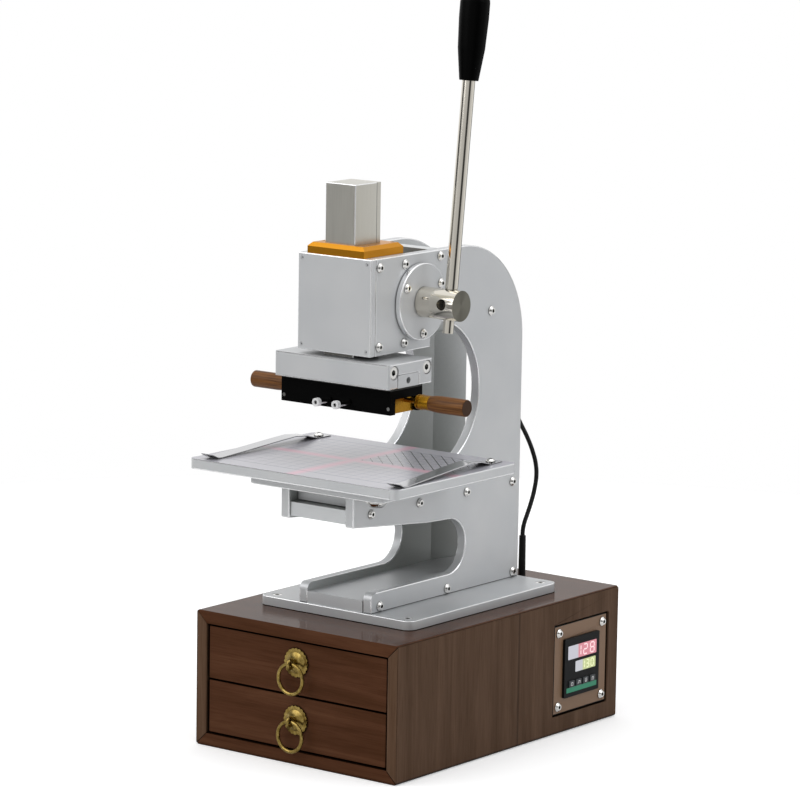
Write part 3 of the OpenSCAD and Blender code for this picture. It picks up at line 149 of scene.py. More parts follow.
lead_curve = bpy.data.curves.new("heater_lead_cable", "CURVE")
lead_curve.dimensions = "3D"
lead_curve.bevel_depth = lead_diameter / 2
lead_curve.bevel_resolution = 4
lead_curve.resolution_u = 6
lead_curve.use_fill_caps = True
lead_spline = lead_curve.splines.new("BEZIER")
lead_spline.bezier_points.add(len(lead_route) - 1)
for point, (y, z) in zip(lead_spline.bezier_points, lead_route):
    point.co = (lead_x, y, z)
    point.handle_left_type = "AUTO"
    point.handle_right_type = "AUTO"
lead_curve.materials.append(black_rubber)
lead = bpy.data.objects.new("heater_lead_cable", lead_curve)
bpy.context.collection.objects.link(lead)
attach(lead, "frame")
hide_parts("heater_lead")


# Box: ten millimetre walnut boards, mitred at the long edges and glued, the sides made of two
# boards each. The grain runs round the box: upright on the sides, across on top and bottom.
def finish_copy(node, finish, edge, edge_finish=None, shortest=0.0):
    """Replace a solid by a copy with its sharp edges rounded: all, or those longer than the shortest."""
    bpy.ops.object.select_all(action="DESELECT")
    piece = bpy.data.objects.new(node + "_finished", frame["nodes"][node].data.copy())
    bpy.context.collection.objects.link(piece)
    bpy.context.view_layer.objects.active = piece
    piece.select_set(True)
    piece.data.materials.clear()
    piece.data.materials.append(finish)
    bpy.ops.object.mode_set(mode="EDIT")
    bpy.ops.mesh.select_all(action="SELECT")
    bpy.ops.mesh.remove_doubles(threshold=2e-6)
    bpy.ops.mesh.dissolve_limited(angle_limit=math.radians(0.5))
    bpy.ops.object.mode_set(mode="OBJECT")
    rounding = piece.modifiers.new("rounding", "BEVEL")
    rounding.width = edge
    rounding.segments = 2
    rounding.limit_method = "ANGLE"
    rounding.angle_limit = math.radians(35)
    rounding.miter_outer = "MITER_ARC"
    if shortest:
        bpy.ops.object.mode_set(mode="EDIT")
        bpy.ops.mesh.select_mode(type="EDGE")
        bpy.ops.mesh.select_all(action="DESELECT")
        bpy.ops.mesh.edges_select_sharp(sharpness=rounding.angle_limit)
        bpy.ops.object.mode_set(mode="OBJECT")
        weights = piece.data.attributes.new("bevel_weight_edge", "FLOAT", "EDGE")
        for line in piece.data.edges:
            start, end = (piece.data.vertices[corner].co for corner in line.vertices)
            if line.select and (end - start).length > shortest:
                weights.data[line.index].value = 1.0
        rounding.limit_method = "WEIGHT"
        rounding.use_clamp_overlap = False
    if edge_finish:
        piece.data.materials.append(edge_finish)
        rounding.material = 1
    bpy.ops.object.modifier_apply(modifier=rounding.name)
    bpy.ops.object.shade_smooth_by_angle(angle=math.radians(38))
    flats = piece.modifiers.new("flats", "WEIGHTED_NORMAL")
    flats.keep_sharp = True
    bpy.ops.object.modifier_apply(modifier=flats.name)
    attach(piece, frame["nodes"][node]["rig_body"])
    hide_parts(node)
    return piece


multiply = {"data_type": "RGBA", "blend_type": "MULTIPLY"}


def walnut(name, along, dark, middle, light, seam_y=None):
    """Walnut with its grain along axis 0, 1 or 2, in three tones, and a stained seam where it has one."""
    # Lacquered walnut: brown with slow bands some 14 mm wide and faint pore streaks of about 0.8 mm,
    # with painted shade dark down in the joints. The thin lacquer hardly shows from in front, but mirrors at
    # a low angle.
    band_width = 0.014
    band_length = 0.20
    pore_width = 0.0008
    pore_length = 0.025
    finish, tree, shader = start_finish(name, {"Specular IOR Level": 0.06, "Specular Tint": linear("5a3a20")})
    place = add_node(tree, "TexCoord")
    band_scale = [1 / band_width] * 3
    band_scale[along] = 1 / band_length
    band_place = add_node(tree, "Mapping", {"Vector": place.outputs["Object"], "Scale": band_scale})
    bands = add_node(tree, "TexNoise", {"Vector": band_place.outputs["Vector"], "Scale": 1.0, "Detail": 4.0,
                                        "Roughness": 0.55, "Distortion": 0.8})
    pore_scale = [1 / pore_width] * 3
    pore_scale[along] = 1 / pore_length
    pore_place = add_node(tree, "Mapping", {"Vector": place.outputs["Object"], "Scale": pore_scale})
    pores = add_node(tree, "TexNoise", {"Vector": pore_place.outputs["Vector"], "Scale": 1.0, "Detail": 3.0})
    tone = add_node(tree, "ValToRGB", {"Fac": bands.outputs["Fac"]},
                    stops=((0.28, dark), (0.5, middle), (0.72, light)))
    depth = add_node(tree, "ValToRGB", {"Fac": pores.outputs["Fac"]},
                     stops=((0.32, "ebe7e3"), (0.55, "ffffff")))
    grain = add_node(tree, "Mix", {"Factor": 1.0, "A": tone.outputs["Color"], "B": depth.outputs["Color"]},
                     **multiply)
    # Painted shade: the colour is darkened where little open sky reaches, in joints and grooves.
    sky = add_node(tree, "AmbientOcclusion", {"Distance": 0.004}, samples=8)
    painted_shade = add_node(tree, "MapRange", {"Value": sky.outputs["AO"], "From Min": 0.45, "From Max": 0.92,
                                        "To Min": 0.12, "To Max": 1.0})
    colour = add_node(tree, "Mix", {"Factor": 1.0, "A": grain.outputs["Result"],
                                    "B": painted_shade.outputs["Result"]}, **multiply)
    if seam_y is not None:
        # Glue and stain have drawn about 1.5 mm into the edges of both boards.
        stain_core = 0.0004
        stain_reach = 0.0018
        apart = add_node(tree, "SeparateXYZ", {"Vector": place.outputs["Object"]})
        beside = add_node(tree, "Math", {0: apart.outputs["Y"], 1: seam_y}, operation="SUBTRACT")
        distance = add_node(tree, "Math", {0: beside.outputs[0]}, operation="ABSOLUTE")
        stain = add_node(tree, "MapRange", {"Value": distance.outputs[0], "From Min": stain_core,
                                            "From Max": stain_reach, "To Min": 0.6, "To Max": 1.0})
        colour = add_node(tree, "Mix", {"Factor": 1.0, "A": colour.outputs["Result"],
                                        "B": stain.outputs["Result"]}, **multiply)
    gloss = add_node(tree, "MapRange", {"Value": pores.outputs["Fac"], "To Min": 0.22, "To Max": 0.12})
    relief = add_node(tree, "Bump", {"Height": pores.outputs["Fac"], "Strength": 0.03, "Distance": 0.0002})
    tree.links.new(colour.outputs["Result"], shader.inputs["Base Color"])
    tree.links.new(gloss.outputs["Result"], shader.inputs["Roughness"])
    tree.links.new(relief.outputs["Normal"], shader.inputs["Normal"])
    return finish


walnut_across = walnut("walnut_across", 0, "432919", "4f3222", "5a3c2a")
divider_low, divider_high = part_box("cabinet_divider")
side_seam_y = (divider_low.y + divider_high.y) / 2
# The upright boards' tones are lighter and greyer than the across boards': painted sheen that stands in for
# the light on the box's sides.
walnut_upright = walnut("walnut_upright", 2, "4f3b2c", "594435", "644e3e", side_seam_y)
board_edge = 0.0006
finish_copy("box_bottom", walnut_across, board_edge)
finish_copy("box_top", walnut_across, board_edge)
finish_copy("box_left_side", walnut_upright, edge=0.0008, shortest=0.003)
finish_copy("box_right_side", walnut_upright, edge=0.0008, shortest=0.003)
finish_copy("box_back_panel", walnut_across, board_edge)
finish_copy("lead_boot", black_rubber, edge=0.0004)


# Drawers: walnut fronts on plain pale boxes that run on strips, with a divider behind them
# that closes the electrical bay. Boxes, strips and divider are unpolished poplar.
# Planed poplar: pale, even and matt, with faint streaks some 2 mm wide along the grain.
streak_width = 0.002
streak_length = 0.06
poplar, tree, shader = start_finish("poplar", {"Roughness": 0.62})
place = add_node(tree, "TexCoord")
streak_place = add_node(tree, "Mapping", {"Vector": place.outputs["Object"],
                                          "Scale": (1 / streak_length, 1 / streak_length, 1 / streak_width)})
streaks = add_node(tree, "TexNoise", {"Vector": streak_place.outputs["Vector"], "Scale": 1.0, "Detail": 3.0})
tone = add_node(tree, "ValToRGB", {"Fac": streaks.outputs["Fac"]}, stops=((0.3, "b08d62"), (0.7, "c9a87c")))
tree.links.new(tone.outputs["Color"], shader.inputs["Base Color"])

for drawer in ("upper", "lower"):
    finish_copy(drawer + "_drawer_front", walnut_across, board_edge)
    finish_copy(drawer + "_drawer_box", poplar, edge=0.0003)


def paint(node, finish):
    """Give a solid that keeps its own mesh its finish."""
    for slot in frame["nodes"][node].material_slots:
        slot.material = finish


paint("cabinet_divider", poplar)
paint("drawer_runners", poplar)


# Drawer pulls: cast brass rosettes with a scalloped rim, an eye post through the middle and a
# loose wire ring in the eye, all with an antique finish of uneven brown.
# Antique brass: yellow metal under a thin brown patina that comes and goes over about 3 mm.
patina_width = 0.003
aged_brass, tree, shader = start_finish("aged_brass", {"Metallic": 1.0})
place = add_node(tree, "TexCoord")
patina = add_node(tree, "TexNoise", {"Vector": place.outputs["Object"], "Scale": 1 / patina_width,
                                     "Detail": 4.0})
tone = add_node(tree, "ValToRGB", {"Fac": patina.outputs["Fac"]}, stops=((0.35, "7d6833"), (0.65, "a08a50")))
gloss = add_node(tree, "MapRange", {"Value": patina.outputs["Fac"], "To Min": 0.32, "To Max": 0.24})
tree.links.new(tone.outputs["Color"], shader.inputs["Base Color"])
tree.links.new(gloss.outputs["Result"], shader.inputs["Roughness"])

for drawer in ("upper", "lower"):
    finish_copy(drawer + "_pull", aged_brass, edge=0.0003)
    finish_copy(drawer + "_ring", aged_brass, edge=0.0003)


# Control panel: a bronze-coloured plate let into the right side and held by four socket screws,
# with the square temperature controller clipped into its opening.
# Bronze-anodised aluminium: a satin brown, hardly metallic, with a faint 0.3 mm blasted grain.
bronze_grain = 0.0003
bronze_anodised, tree, shader = start_finish("bronze_anodised", {"Base Color": linear("7c6048"),
                                                                "Metallic": 0.1})
place = add_node(tree, "TexCoord")
grain = add_node(tree, "TexNoise", {"Vector": place.outputs["Object"], "Scale": 1 / bronze_grain,
                                    "Detail": 2.0})
gloss = add_node(tree, "MapRange", {"Value": grain.outputs["Fac"], "To Min": 0.38, "To Max": 0.5})
tree.links.new(gloss.outputs["Result"], shader.inputs["Roughness"])


def nickel(name, dark_to, bright_from):
    """Nickel plate that is dark up to one share of open sky and bright from another."""
    # Nickel-plated screw steel: bright and mirror-like, with a slight 1 mm unevenness, and painted shade
    # that turns it dark down in the hex sockets and round sunk heads, where little light gets in.
    wave_width = 0.001
    finish, tree, shader = start_finish(name, {"Metallic": 1.0})
    place = add_node(tree, "TexCoord")
    wave = add_node(tree, "TexNoise", {"Vector": place.outputs["Object"], "Scale": 1 / wave_width,
                                       "Detail": 1.0})
    gloss = add_node(tree, "MapRange", {"Value": wave.outputs["Fac"], "To Min": 0.06, "To Max": 0.14})
    sky = add_node(tree, "AmbientOcclusion", {"Distance": 0.0022}, samples=8)
    tone = add_node(tree, "ValToRGB", {"Fac": sky.outputs["AO"]},
                    stops=((dark_to, "080808"), (bright_from, "e6e5e2")))
    tree.links.new(tone.outputs["Color"], shader.inputs["Base Color"])
    tree.links.new(gloss.outputs["Result"], shader.inputs["Roughness"])
    return finish


bright_screws = nickel("nickel_plated_steel", dark_to=0.42, bright_from=0.75)

# Moulded ABS: black with a fine spark-eroded grain of about 0.2 mm and a soft highlight.
abs_grain = 0.0002
black_plastic, tree, shader = start_finish("black_abs", {"Base Color": linear("090a0b"),
                                                        "Specular IOR Level": 0.12})
place = add_node(tree, "TexCoord")
grain = add_node(tree, "TexNoise", {"Vector": place.outputs["Object"], "Scale": 1 / abs_grain, "Detail": 2.0})
gloss = add_node(tree, "MapRange", {"Value": grain.outputs["Fac"], "To Min": 0.3, "To Max": 0.48})
tree.links.new(gloss.outputs["Result"], shader.inputs["Roughness"])

# Its rounded edges are black: a painted shadow line that stands in for the shade in the gap round the panel.
finish_copy("control_panel", bronze_anodised, edge=0.0009, edge_finish=black_plastic,
            shortest=0.003)
finish_copy("panel_screws", bright_screws, edge=0.0002)
finish_copy("controller_front", black_plastic, edge=0.0003, shortest=0.02)
paint("controller_case", black_plastic)


# Controller face: two lit number windows, a green strip below them, and four keys with white
# signs. Windows and strip are printed film on the front, the figures are seven-bar lamps.
panel_low, panel_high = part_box("control_panel")
face_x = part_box("controller_front")[1].x
face_y = (panel_low.y + panel_high.y) / 2
face_z = (panel_low.z + panel_high.z) / 2


def face_tile(y, z, wide, tall, corner, sink, proud):
    """A thin tile that faces right, centred at y and z from the controller's middle."""
    bpy.ops.object.select_all(action="DESELECT")
    bpy.ops.mesh.primitive_plane_add(size=1, location=(face_x - sink, face_y + y, face_z + z),
                                     rotation=(0, math.radians(90), 0))
    tile = bpy.context.active_object
    tile.scale = (tall, wide, 1)
    bpy.ops.object.transform_apply(location=True, rotation=True, scale=True)
    bpy.ops.object.mode_set(mode="EDIT")
    bpy.ops.mesh.select_all(action="SELECT")
    bpy.ops.mesh.bevel(offset=corner, segments=2, affect="VERTICES")
    bpy.ops.mesh.extrude_region_move(TRANSFORM_OT_translate={"value": (sink + proud, 0, 0)})
    bpy.ops.mesh.select_all(action="SELECT")
    bpy.ops.mesh.normals_make_consistent(inside=False)
    bpy.ops.object.mode_set(mode="OBJECT")
    return tile


def join_tiles(name, tiles, finish, body):
    """Join tiles into one piece that moves with a body."""
    bpy.ops.object.select_all(action="DESELECT")
    for tile in tiles:
        tile.select_set(True)
    bpy.context.view_layer.objects.active = tiles[0]
    if len(tiles) > 1:
        bpy.ops.object.join()
    piece = bpy.context.active_object
    piece.name = name
    piece.data.materials.append(finish)
    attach(piece, body)
    return piece


def lit_film(name, pale, glow, lit_from):
    """Backlit film: pale where its figures are dark, tinted by the lamps from a given place on."""
    fade = 0.001
    finish, tree, shader = start_finish(name, {"Base Color": linear("1a1a1c"), "Roughness": 0.25,
                                               "Emission Strength": 0.8})
    place = add_node(tree, "TexCoord")
    apart = add_node(tree, "SeparateXYZ", {"Vector": place.outputs["Object"]})
    lamps = add_node(tree, "MapRange", {"Value": apart.outputs["Y"], "From Min": face_y + lit_from - fade,
                                        "From Max": face_y + lit_from + fade})
    colour = add_node(tree, "ValToRGB", {"Fac": lamps.outputs["Result"]}, stops=((0.0, pale), (1.0, glow)))
    tree.links.new(colour.outputs["Color"], shader.inputs["Emission Color"])
    return finish


def bar_figure(digit, y, z, wide, tall, bar):
    """The lit bars of one seven-bar figure, centred at y and z."""
    lit = {"0": "abcdef", "1": "bc", "2": "abged", "3": "abgcd", "8": "abcdefg"}[digit]
    half = tall / 2
    taken = 1.15 * bar
    flat = wide - taken
    upright = half - taken / 2
    bars = {"a": (0, half, flat, bar), "g": (0, 0, flat, bar), "d": (0, -half, flat, bar),
            "b": (wide / 2, half / 2, bar, upright), "c": (wide / 2, -half / 2, bar, upright),
            "f": (-wide / 2, half / 2, bar, upright), "e": (-wide / 2, -half / 2, bar, upright)}
    tiles = []
    for letter in lit:
        bar_y, bar_z, bar_wide, bar_tall = bars[letter]
        tiles.append(face_tile(y + bar_y, z + bar_z, bar_wide, bar_tall, bar * 0.3, sink=0, proud=0.0003))
    return tiles


def figure_row(figures, z, wide, tall, bar):
    """The lit bars of a row of figures, each given as its digit and its place along the row."""
    return [tile for digit, y in figures for tile in bar_figure(digit, y, z, wide, tall, bar)]


# Backlit film and lamps: pale windows that glow pink or yellow green behind nearly white bars.
upper_film = lit_film("red_lit_film", "d4d3de", "e8929f", lit_from=-0.0055)
lower_film = lit_film("green_lit_film", "d4d6dc", "d3de9c", lit_from=0.0010)
red_lamps = start_finish("red_lamps", {"Base Color": linear("401015"), "Roughness": 0.4,
                                       "Emission Color": linear("ffdfe3"), "Emission Strength": 1.0})[0]
green_lamps = start_finish("green_lamps", {"Base Color": linear("2a3010"), "Roughness": 0.4,
                                           "Emission Color": linear("f2f7c8"), "Emission Strength": 1.0})[0]
film_sink = 0.0005
window_corner = 0.0006
window_proud = 0.00015
upper_z = 0.0122
lower_z = -0.0002
window = face_tile(0.0001, upper_z, 0.0390, 0.0110, window_corner, film_sink, window_proud)
join_tiles("upper_window", [window], upper_film, "frame")
window = face_tile(0.0048, lower_z, 0.0277, 0.0087, window_corner, film_sink, window_proud)
join_tiles("lower_window", [window], lower_film, "frame")
figures = figure_row((("1", -0.0048), ("2", 0.0042), ("8", 0.0136)), upper_z,
                     wide=0.0052, tall=0.0080, bar=0.0011)
join_tiles("upper_figures", figures, red_lamps, "frame")
figures = figure_row((("1", 0.0015), ("3", 0.0075), ("0", 0.0140)), lower_z,
                     wide=0.0036, tall=0.0060, bar=0.0009)
join_tiles("lower_figures", figures, green_lamps, "frame")

# Screen-printed green film: a flat satin green.
green_print = start_finish("green_print", {"Base Color": linear("1f8a66"), "Roughness": 0.4})[0]
strip = face_tile(-0.0002, -0.0183, 0.0415, 0.0040, corner=0.0004, sink=film_sink, proud=0.00012)
join_tiles("green_strip", [strip], green_print, "frame")

# Moulded key plastic, dark grey and matt, and the white ink of the signs on it. The signs are a
# frame, a step, a down mark and an up mark, as the y, z, width and height of their strokes.
key_plastic = start_finish("key_abs", {"Base Color": linear("2b3033"), "Roughness": 0.5})[0]
white_ink = start_finish("white_ink", {"Base Color": linear("dcdcdc"), "Roughness": 0.5})[0]
ink_height = 0.0001
ink_corner = 0.0001
stroke = 0.0006
sign_strokes = [
    [(0, 0.0011, 0.0030, stroke), (0, -0.0011, 0.0030, stroke),
     (-0.0012, 0, stroke, 0.0022), (0.0012, 0, stroke, 0.0022)],
    [(-0.0012, -0.0006, 0.0012, stroke), (-0.0004, 0.0002, stroke, 0.0022),
     (0.0008, 0.0010, 0.0020, stroke), (0.0015, 0, stroke, 0.0018)],
    [(-0.0010, 0.0004, stroke, 0.0026), (0.0010, 0.0004, stroke, 0.0026), (0, -0.0011, 0.0016, stroke)],
    [(-0.0010, -0.0004, stroke, 0.0026), (0.0010, -0.0004, stroke, 0.0026), (0, 0.0011, 0.0016, stroke)],
]
for number, strokes in enumerate(sign_strokes, start=1):
    finish_copy(f"key_{number}", key_plastic, edge=0.0003)
    key_low, key_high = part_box(f"key_{number}")
    sign_x = key_high.x - face_x
    sign_y = (key_low.y + key_high.y) / 2 - face_y
    sign_z = (key_low.z + key_high.z) / 2 - face_z
    signs = [face_tile(sign_y + y, sign_z + z, wide, tall, ink_corner, -sign_x, sign_x + ink_height)
             for y, z, wide, tall in strokes]
    join_tiles(f"key_{number}_sign", signs, white_ink, f"key_{number}")


# Rear electrics: a moulded mains inlet with its rocker switch, screwed over a cut in the back
# panel, and the solid-state relay on the bay's floor that switches the heater.
# Red polycarbonate of the rocker: a clear, glossy signal red.
red_plastic = start_finish("red_polycarbonate", {"Base Color": linear("b3161a"), "Roughness": 0.25})[0]
# Pale PBT of the relay's case, slightly rough from its mould.
white_plastic = start_finish("pale_pbt", {"Base Color": linear("d9d6cc"), "Roughness": 0.5})[0]
finish_copy("power_inlet", black_plastic, edge=0.0004)
finish_copy("power_rocker", red_plastic, edge=0.0003)
paint("solid_state_relay", white_plastic)


# Press frame: two milled side plates on a base plate, tied by a block, bars and the head's front
# plate, and held by button-head screws. All are blasted and clear-anodised aluminium.
# Blasted anodised aluminium: a soft, nearly matt silver grey, slightly clouded over about 50 mm, with
# painted shade between the plates. Its grit of about 0.15 mm is drawn at 0.5 mm so that it shows.
shown_grit = 0.0005
cloud_width = 0.05
satin_aluminium, tree, shader = start_finish("blasted_aluminium", {"Metallic": 0.4})
place = add_node(tree, "TexCoord")
grit = add_node(tree, "TexNoise", {"Vector": place.outputs["Object"], "Scale": 1 / shown_grit, "Detail": 2.0})
cloud = add_node(tree, "TexNoise", {"Vector": place.outputs["Object"], "Scale": 1 / cloud_width,
                                    "Detail": 2.0})
tone = add_node(tree, "ValToRGB", {"Fac": cloud.outputs["Fac"]}, stops=((0.3, "c3c5c7"), (0.7, "cbcccd")))
gloss = add_node(tree, "MapRange", {"Value": grit.outputs["Fac"], "To Min": 0.36, "To Max": 0.46})
relief = add_node(tree, "Bump", {"Height": grit.outputs["Fac"], "Strength": 0.06, "Distance": 0.0001})
# Painted shade: the colour is darker where less open sky reaches, between the plates and in corners.
sky = add_node(tree, "AmbientOcclusion", {"Distance": 0.07}, samples=16)
painted_shade = add_node(tree, "MapRange", {"Value": sky.outputs["AO"], "From Min": 0.2, "From Max": 0.7,
                                    "To Min": 0.8, "To Max": 1.0})
colour = add_node(tree, "Mix", {"Factor": 1.0, "A": tone.outputs["Color"], "B": painted_shade.outputs["Result"]},
                  **multiply)
tree.links.new(colour.outputs["Result"], shader.inputs["Base Color"])
tree.links.new(gloss.outputs["Result"], shader.inputs["Roughness"])
tree.links.new(relief.outputs["Normal"], shader.inputs["Normal"])

# Bright-cut chamfer: edges milled after blasting, which show as thin white lines where they are free, partly
# a painted highlight from their near-white, partly diffuse colour, and as dark seams of painted shade where
# two plates meet.
cut_with_painted_light, tree, shader = start_finish("bright_cut_with_painted_light", {"Metallic": 0.8, "Roughness": 0.22})
sky = add_node(tree, "AmbientOcclusion", {"Distance": 0.002}, samples=8)
tone = add_node(tree, "ValToRGB", {"Fac": sky.outputs["AO"]}, stops=((0.35, "1c1d1e"), (0.8, "f4f5f6")))
tree.links.new(tone.outputs["Color"], shader.inputs["Base Color"])

# Milled aluminium: the inner faces, left as cut, with painted shade that makes them dark deep between the
# plates.
milled_aluminium_painted_shade, tree, shader = start_finish("milled_aluminium_painted_shade", {"Metallic": 0.4, "Roughness": 0.42})
sky = add_node(tree, "AmbientOcclusion", {"Distance": 0.12}, samples=16)
tone = add_node(tree, "ValToRGB", {"Fac": sky.outputs["AO"]}, stops=((0.3, "989b99"), (0.65, "d4d6d7")))
tree.links.new(tone.outputs["Color"], shader.inputs["Base Color"])


def plate_copy(node, edge=0.0008, shortest=0.0010):
    """Replace an aluminium plate by a blasted copy with bright-cut edges in painted highlight and shade."""
    return finish_copy(node, satin_aluminium, edge, cut_with_painted_light, shortest)


plate_copy("base_plate", edge=0.0005)
plate_copy("head_front_plate")
finish_copy("base_block", satin_aluminium, edge=0.0003)
square_normal = 0.99
for node, inwards in (("left_side_plate", 1), ("right_side_plate", -1)):
    plate = plate_copy(node)
    plate.data.materials.append(milled_aluminium_painted_shade)
    for face in plate.data.polygons:
        if face.normal.x * inwards > square_normal:
            face.material_index = 2
finish_copy("frame_cross_bars", milled_aluminium_painted_shade, edge=0.0004)
flanges = plate_copy("bearing_flanges")
# The flanges' turned rims take the bright-cut finish too, with its painted highlight and shade.
rim_normal = 0.3
for face in flanges.data.polygons:
    if abs(face.normal.x) < rim_normal:
        face.material_index = 1
finish_copy("frame_screws", bright_screws, edge=0.0003)
# The small screws in the head's front plate are blasted with it.
small_screws = finish_copy("small_screws", bright_screws, edge=0.0002)
small_screws.data.materials.append(satin_aluminium)
front_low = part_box("head_front_plate")[0]
front_screw_depth = 0.002
for face in small_screws.data.polygons:
    if face.center.y < front_low.y + front_screw_depth and face.center.z > front_low.z:
        face.material_index = 1
finish_copy("lead_clamp", black_plastic, edge=0.0004)


# Ram guide: two steel gibs inside the head and a gold-anodised cap on top, through which the
# ram bar slides. The cap is held by small countersunk screws.
# Gold-anodised aluminium: a deep yellow-brown metal with a satin sheen and the grit of the plates.
gold_aluminium, tree, shader = start_finish("gold_anodised", {"Metallic": 1.0})
place = add_node(tree, "TexCoord")
grit = add_node(tree, "TexNoise", {"Vector": place.outputs["Object"], "Scale": 1 / shown_grit, "Detail": 2.0})
tone = add_node(tree, "ValToRGB", {"Fac": grit.outputs["Fac"]}, stops=((0.0, "c4821c"), (1.0, "cf9029")))
gloss = add_node(tree, "MapRange", {"Value": grit.outputs["Fac"], "To Min": 0.28, "To Max": 0.38})
tree.links.new(tone.outputs["Color"], shader.inputs["Base Color"])
tree.links.new(gloss.outputs["Result"], shader.inputs["Roughness"])

# Ground tool steel: a warm light grey with fine grinding lines of about 0.4 mm along its length, with
# painted shade where the bar goes into the head and onto the platen.
line_width = 0.0004
line_length = 0.03
gear_steel, tree, shader = start_finish("ground_steel", {"Metallic": 1.0})
place = add_node(tree, "TexCoord")
line_place = add_node(tree, "Mapping", {"Vector": place.outputs["Object"],
                                        "Scale": (1 / line_width, 1 / line_width, 1 / line_length)})
lines = add_node(tree, "TexNoise", {"Vector": line_place.outputs["Vector"], "Scale": 1.0, "Detail": 3.0})
tone = add_node(tree, "ValToRGB", {"Fac": lines.outputs["Fac"]}, stops=((0.3, "c8c6be"), (0.7, "ceccc4")))
gloss = add_node(tree, "MapRange", {"Value": lines.outputs["Fac"], "To Min": 0.28, "To Max": 0.42})
sky = add_node(tree, "AmbientOcclusion", {"Distance": 0.02}, samples=8)
painted_shade = add_node(tree, "MapRange", {"Value": sky.outputs["AO"], "From Min": 0.2, "From Max": 0.7,
                                    "To Min": 0.1, "To Max": 1.0})
colour = add_node(tree, "Mix", {"Factor": 1.0, "A": tone.outputs["Color"], "B": painted_shade.outputs["Result"]},
                  **multiply)
tree.links.new(colour.outputs["Result"], shader.inputs["Base Color"])
tree.links.new(gloss.outputs["Result"], shader.inputs["Roughness"])

finish_copy("ram_gibs", gear_steel, edge=0.0003)
finish_copy("guide_cap", gold_aluminium, edge=0.0006)


# Lever: a turned and polished shaft with its hub, pinion and return spring, a polished rod
# screwed into the hub's cross hole, and a moulded black knob on the rod's end.
# Polished steel: a bright mirror with turning marks about 0.3 mm apart that stretch its highlights,
# with painted shade down in the hub's hole.
turning_width = 0.0003
turning_length = 0.02
polished_steel, tree, shader = start_finish("polished_steel", {"Metallic": 1.0})
place = add_node(tree, "TexCoord")
turning_scale = (1 / turning_width, 1 / turning_length, 1 / turning_length)
turned_place = add_node(tree, "Mapping", {"Vector": place.outputs["Object"], "Scale": turning_scale})
marks = add_node(tree, "TexNoise", {"Vector": turned_place.outputs["Vector"], "Scale": 1.0, "Detail": 3.0})
gloss = add_node(tree, "MapRange", {"Value": marks.outputs["Fac"], "To Min": 0.05, "To Max": 0.14})
sky = add_node(tree, "AmbientOcclusion", {"Distance": 0.008}, samples=8)
tone = add_node(tree, "ValToRGB", {"Fac": sky.outputs["AO"]}, stops=((0.3, "0c0b0a"), (0.6, "e0dbd0")))
tree.links.new(tone.outputs["Color"], shader.inputs["Base Color"])
tree.links.new(gloss.outputs["Result"], shader.inputs["Roughness"])

# Faced steel: the hub's end, left with fine turned rings that gather the light into two fans.
# Its grey, far darker than the polished steel, is painted shade.
faced_steel, tree, shader = start_finish("faced_steel", {"Base Color": linear("716f66"), "Metallic": 1.0,
                                                         "Roughness": 0.36, "Anisotropic": 0.85})
around = add_node(tree, "Tangent", direction_type="RADIAL", axis="X")
tree.links.new(around.outputs["Tangent"], shader.inputs["Tangent"])

# Blued spring steel: dark grey with a weak blue cast and a smooth drawn surface.
spring_steel = start_finish("blued_spring_steel", {"Base Color": linear("5a5f66"), "Metallic": 1.0,
                                                   "Roughness": 0.35})[0]
# Phenolic knob: deep black and moulded, with only a weak soft shine.
phenolic = start_finish("black_phenolic", {"Base Color": linear("020202"), "Roughness": 0.35,
                                           "Specular IOR Level": 0.04})[0]

shaft = finish_copy("pinion_shaft", polished_steel, edge=0.0006)
shaft.data.materials.append(faced_steel)
hub_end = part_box("pinion_shaft")[1].x
hub_end_depth = 0.0001
for face in shaft.data.polygons:
    if face.normal.x > square_normal and face.center.x > hub_end - hub_end_depth:
        face.material_index = 1
finish_copy("lever_rod", polished_steel, edge=0.0004)
finish_copy("lever_knob", phenolic, edge=0.0006)
finish_copy("pinion", gear_steel, edge=0.0002)
paint("return_spring", spring_steel)


# Ram: a square ground bar with its rack let into the back, the platen under it, and below that
# the heater carrier, an insulation board and the black heater block with its cartridges.
# Hard-anodised black aluminium: a matt near-black with the grit of the plates and almost no sheen.
black_aluminium, tree, shader = start_finish("black_hard_anodised", {"Base Color": linear("030303"),
                                                                    "Specular IOR Level": 0.03})
place = add_node(tree, "TexCoord")
grit = add_node(tree, "TexNoise", {"Vector": place.outputs["Object"], "Scale": 1 / shown_grit, "Detail": 2.0})
gloss = add_node(tree, "MapRange", {"Value": grit.outputs["Fac"], "To Min": 0.45, "To Max": 0.6})
tree.links.new(gloss.outputs["Result"], shader.inputs["Roughness"])

# Mica insulation board: pressed, charred dark by the heat and slightly flecked over about 1 mm.
fleck_width = 0.001
insulation, tree, shader = start_finish("mica_board", {"Roughness": 0.7})
place = add_node(tree, "TexCoord")
flecks = add_node(tree, "TexNoise", {"Vector": place.outputs["Object"], "Scale": 1 / fleck_width,
                                     "Detail": 2.0})
tone = add_node(tree, "ValToRGB", {"Fac": flecks.outputs["Fac"]}, stops=((0.0, "1a1816"), (1.0, "2c2925")))
tree.links.new(tone.outputs["Color"], shader.inputs["Base Color"])

# Zinc-plated steel of the clamp screws' heads: white metal, softer than the nickel of the other screws.
# Its near-white, mostly diffuse colour is partly painted highlight, and painted shade darkens its sockets.
zinc_plate, tree, shader = start_finish("zinc_plated_steel", {"Metallic": 0.3, "Roughness": 0.18})
sky = add_node(tree, "AmbientOcclusion", {"Distance": 0.002}, samples=8)
tone = add_node(tree, "ValToRGB", {"Fac": sky.outputs["AO"]}, stops=((0.5, "0a0a0a"), (0.7, "f2f2f3")))
tree.links.new(tone.outputs["Color"], shader.inputs["Base Color"])
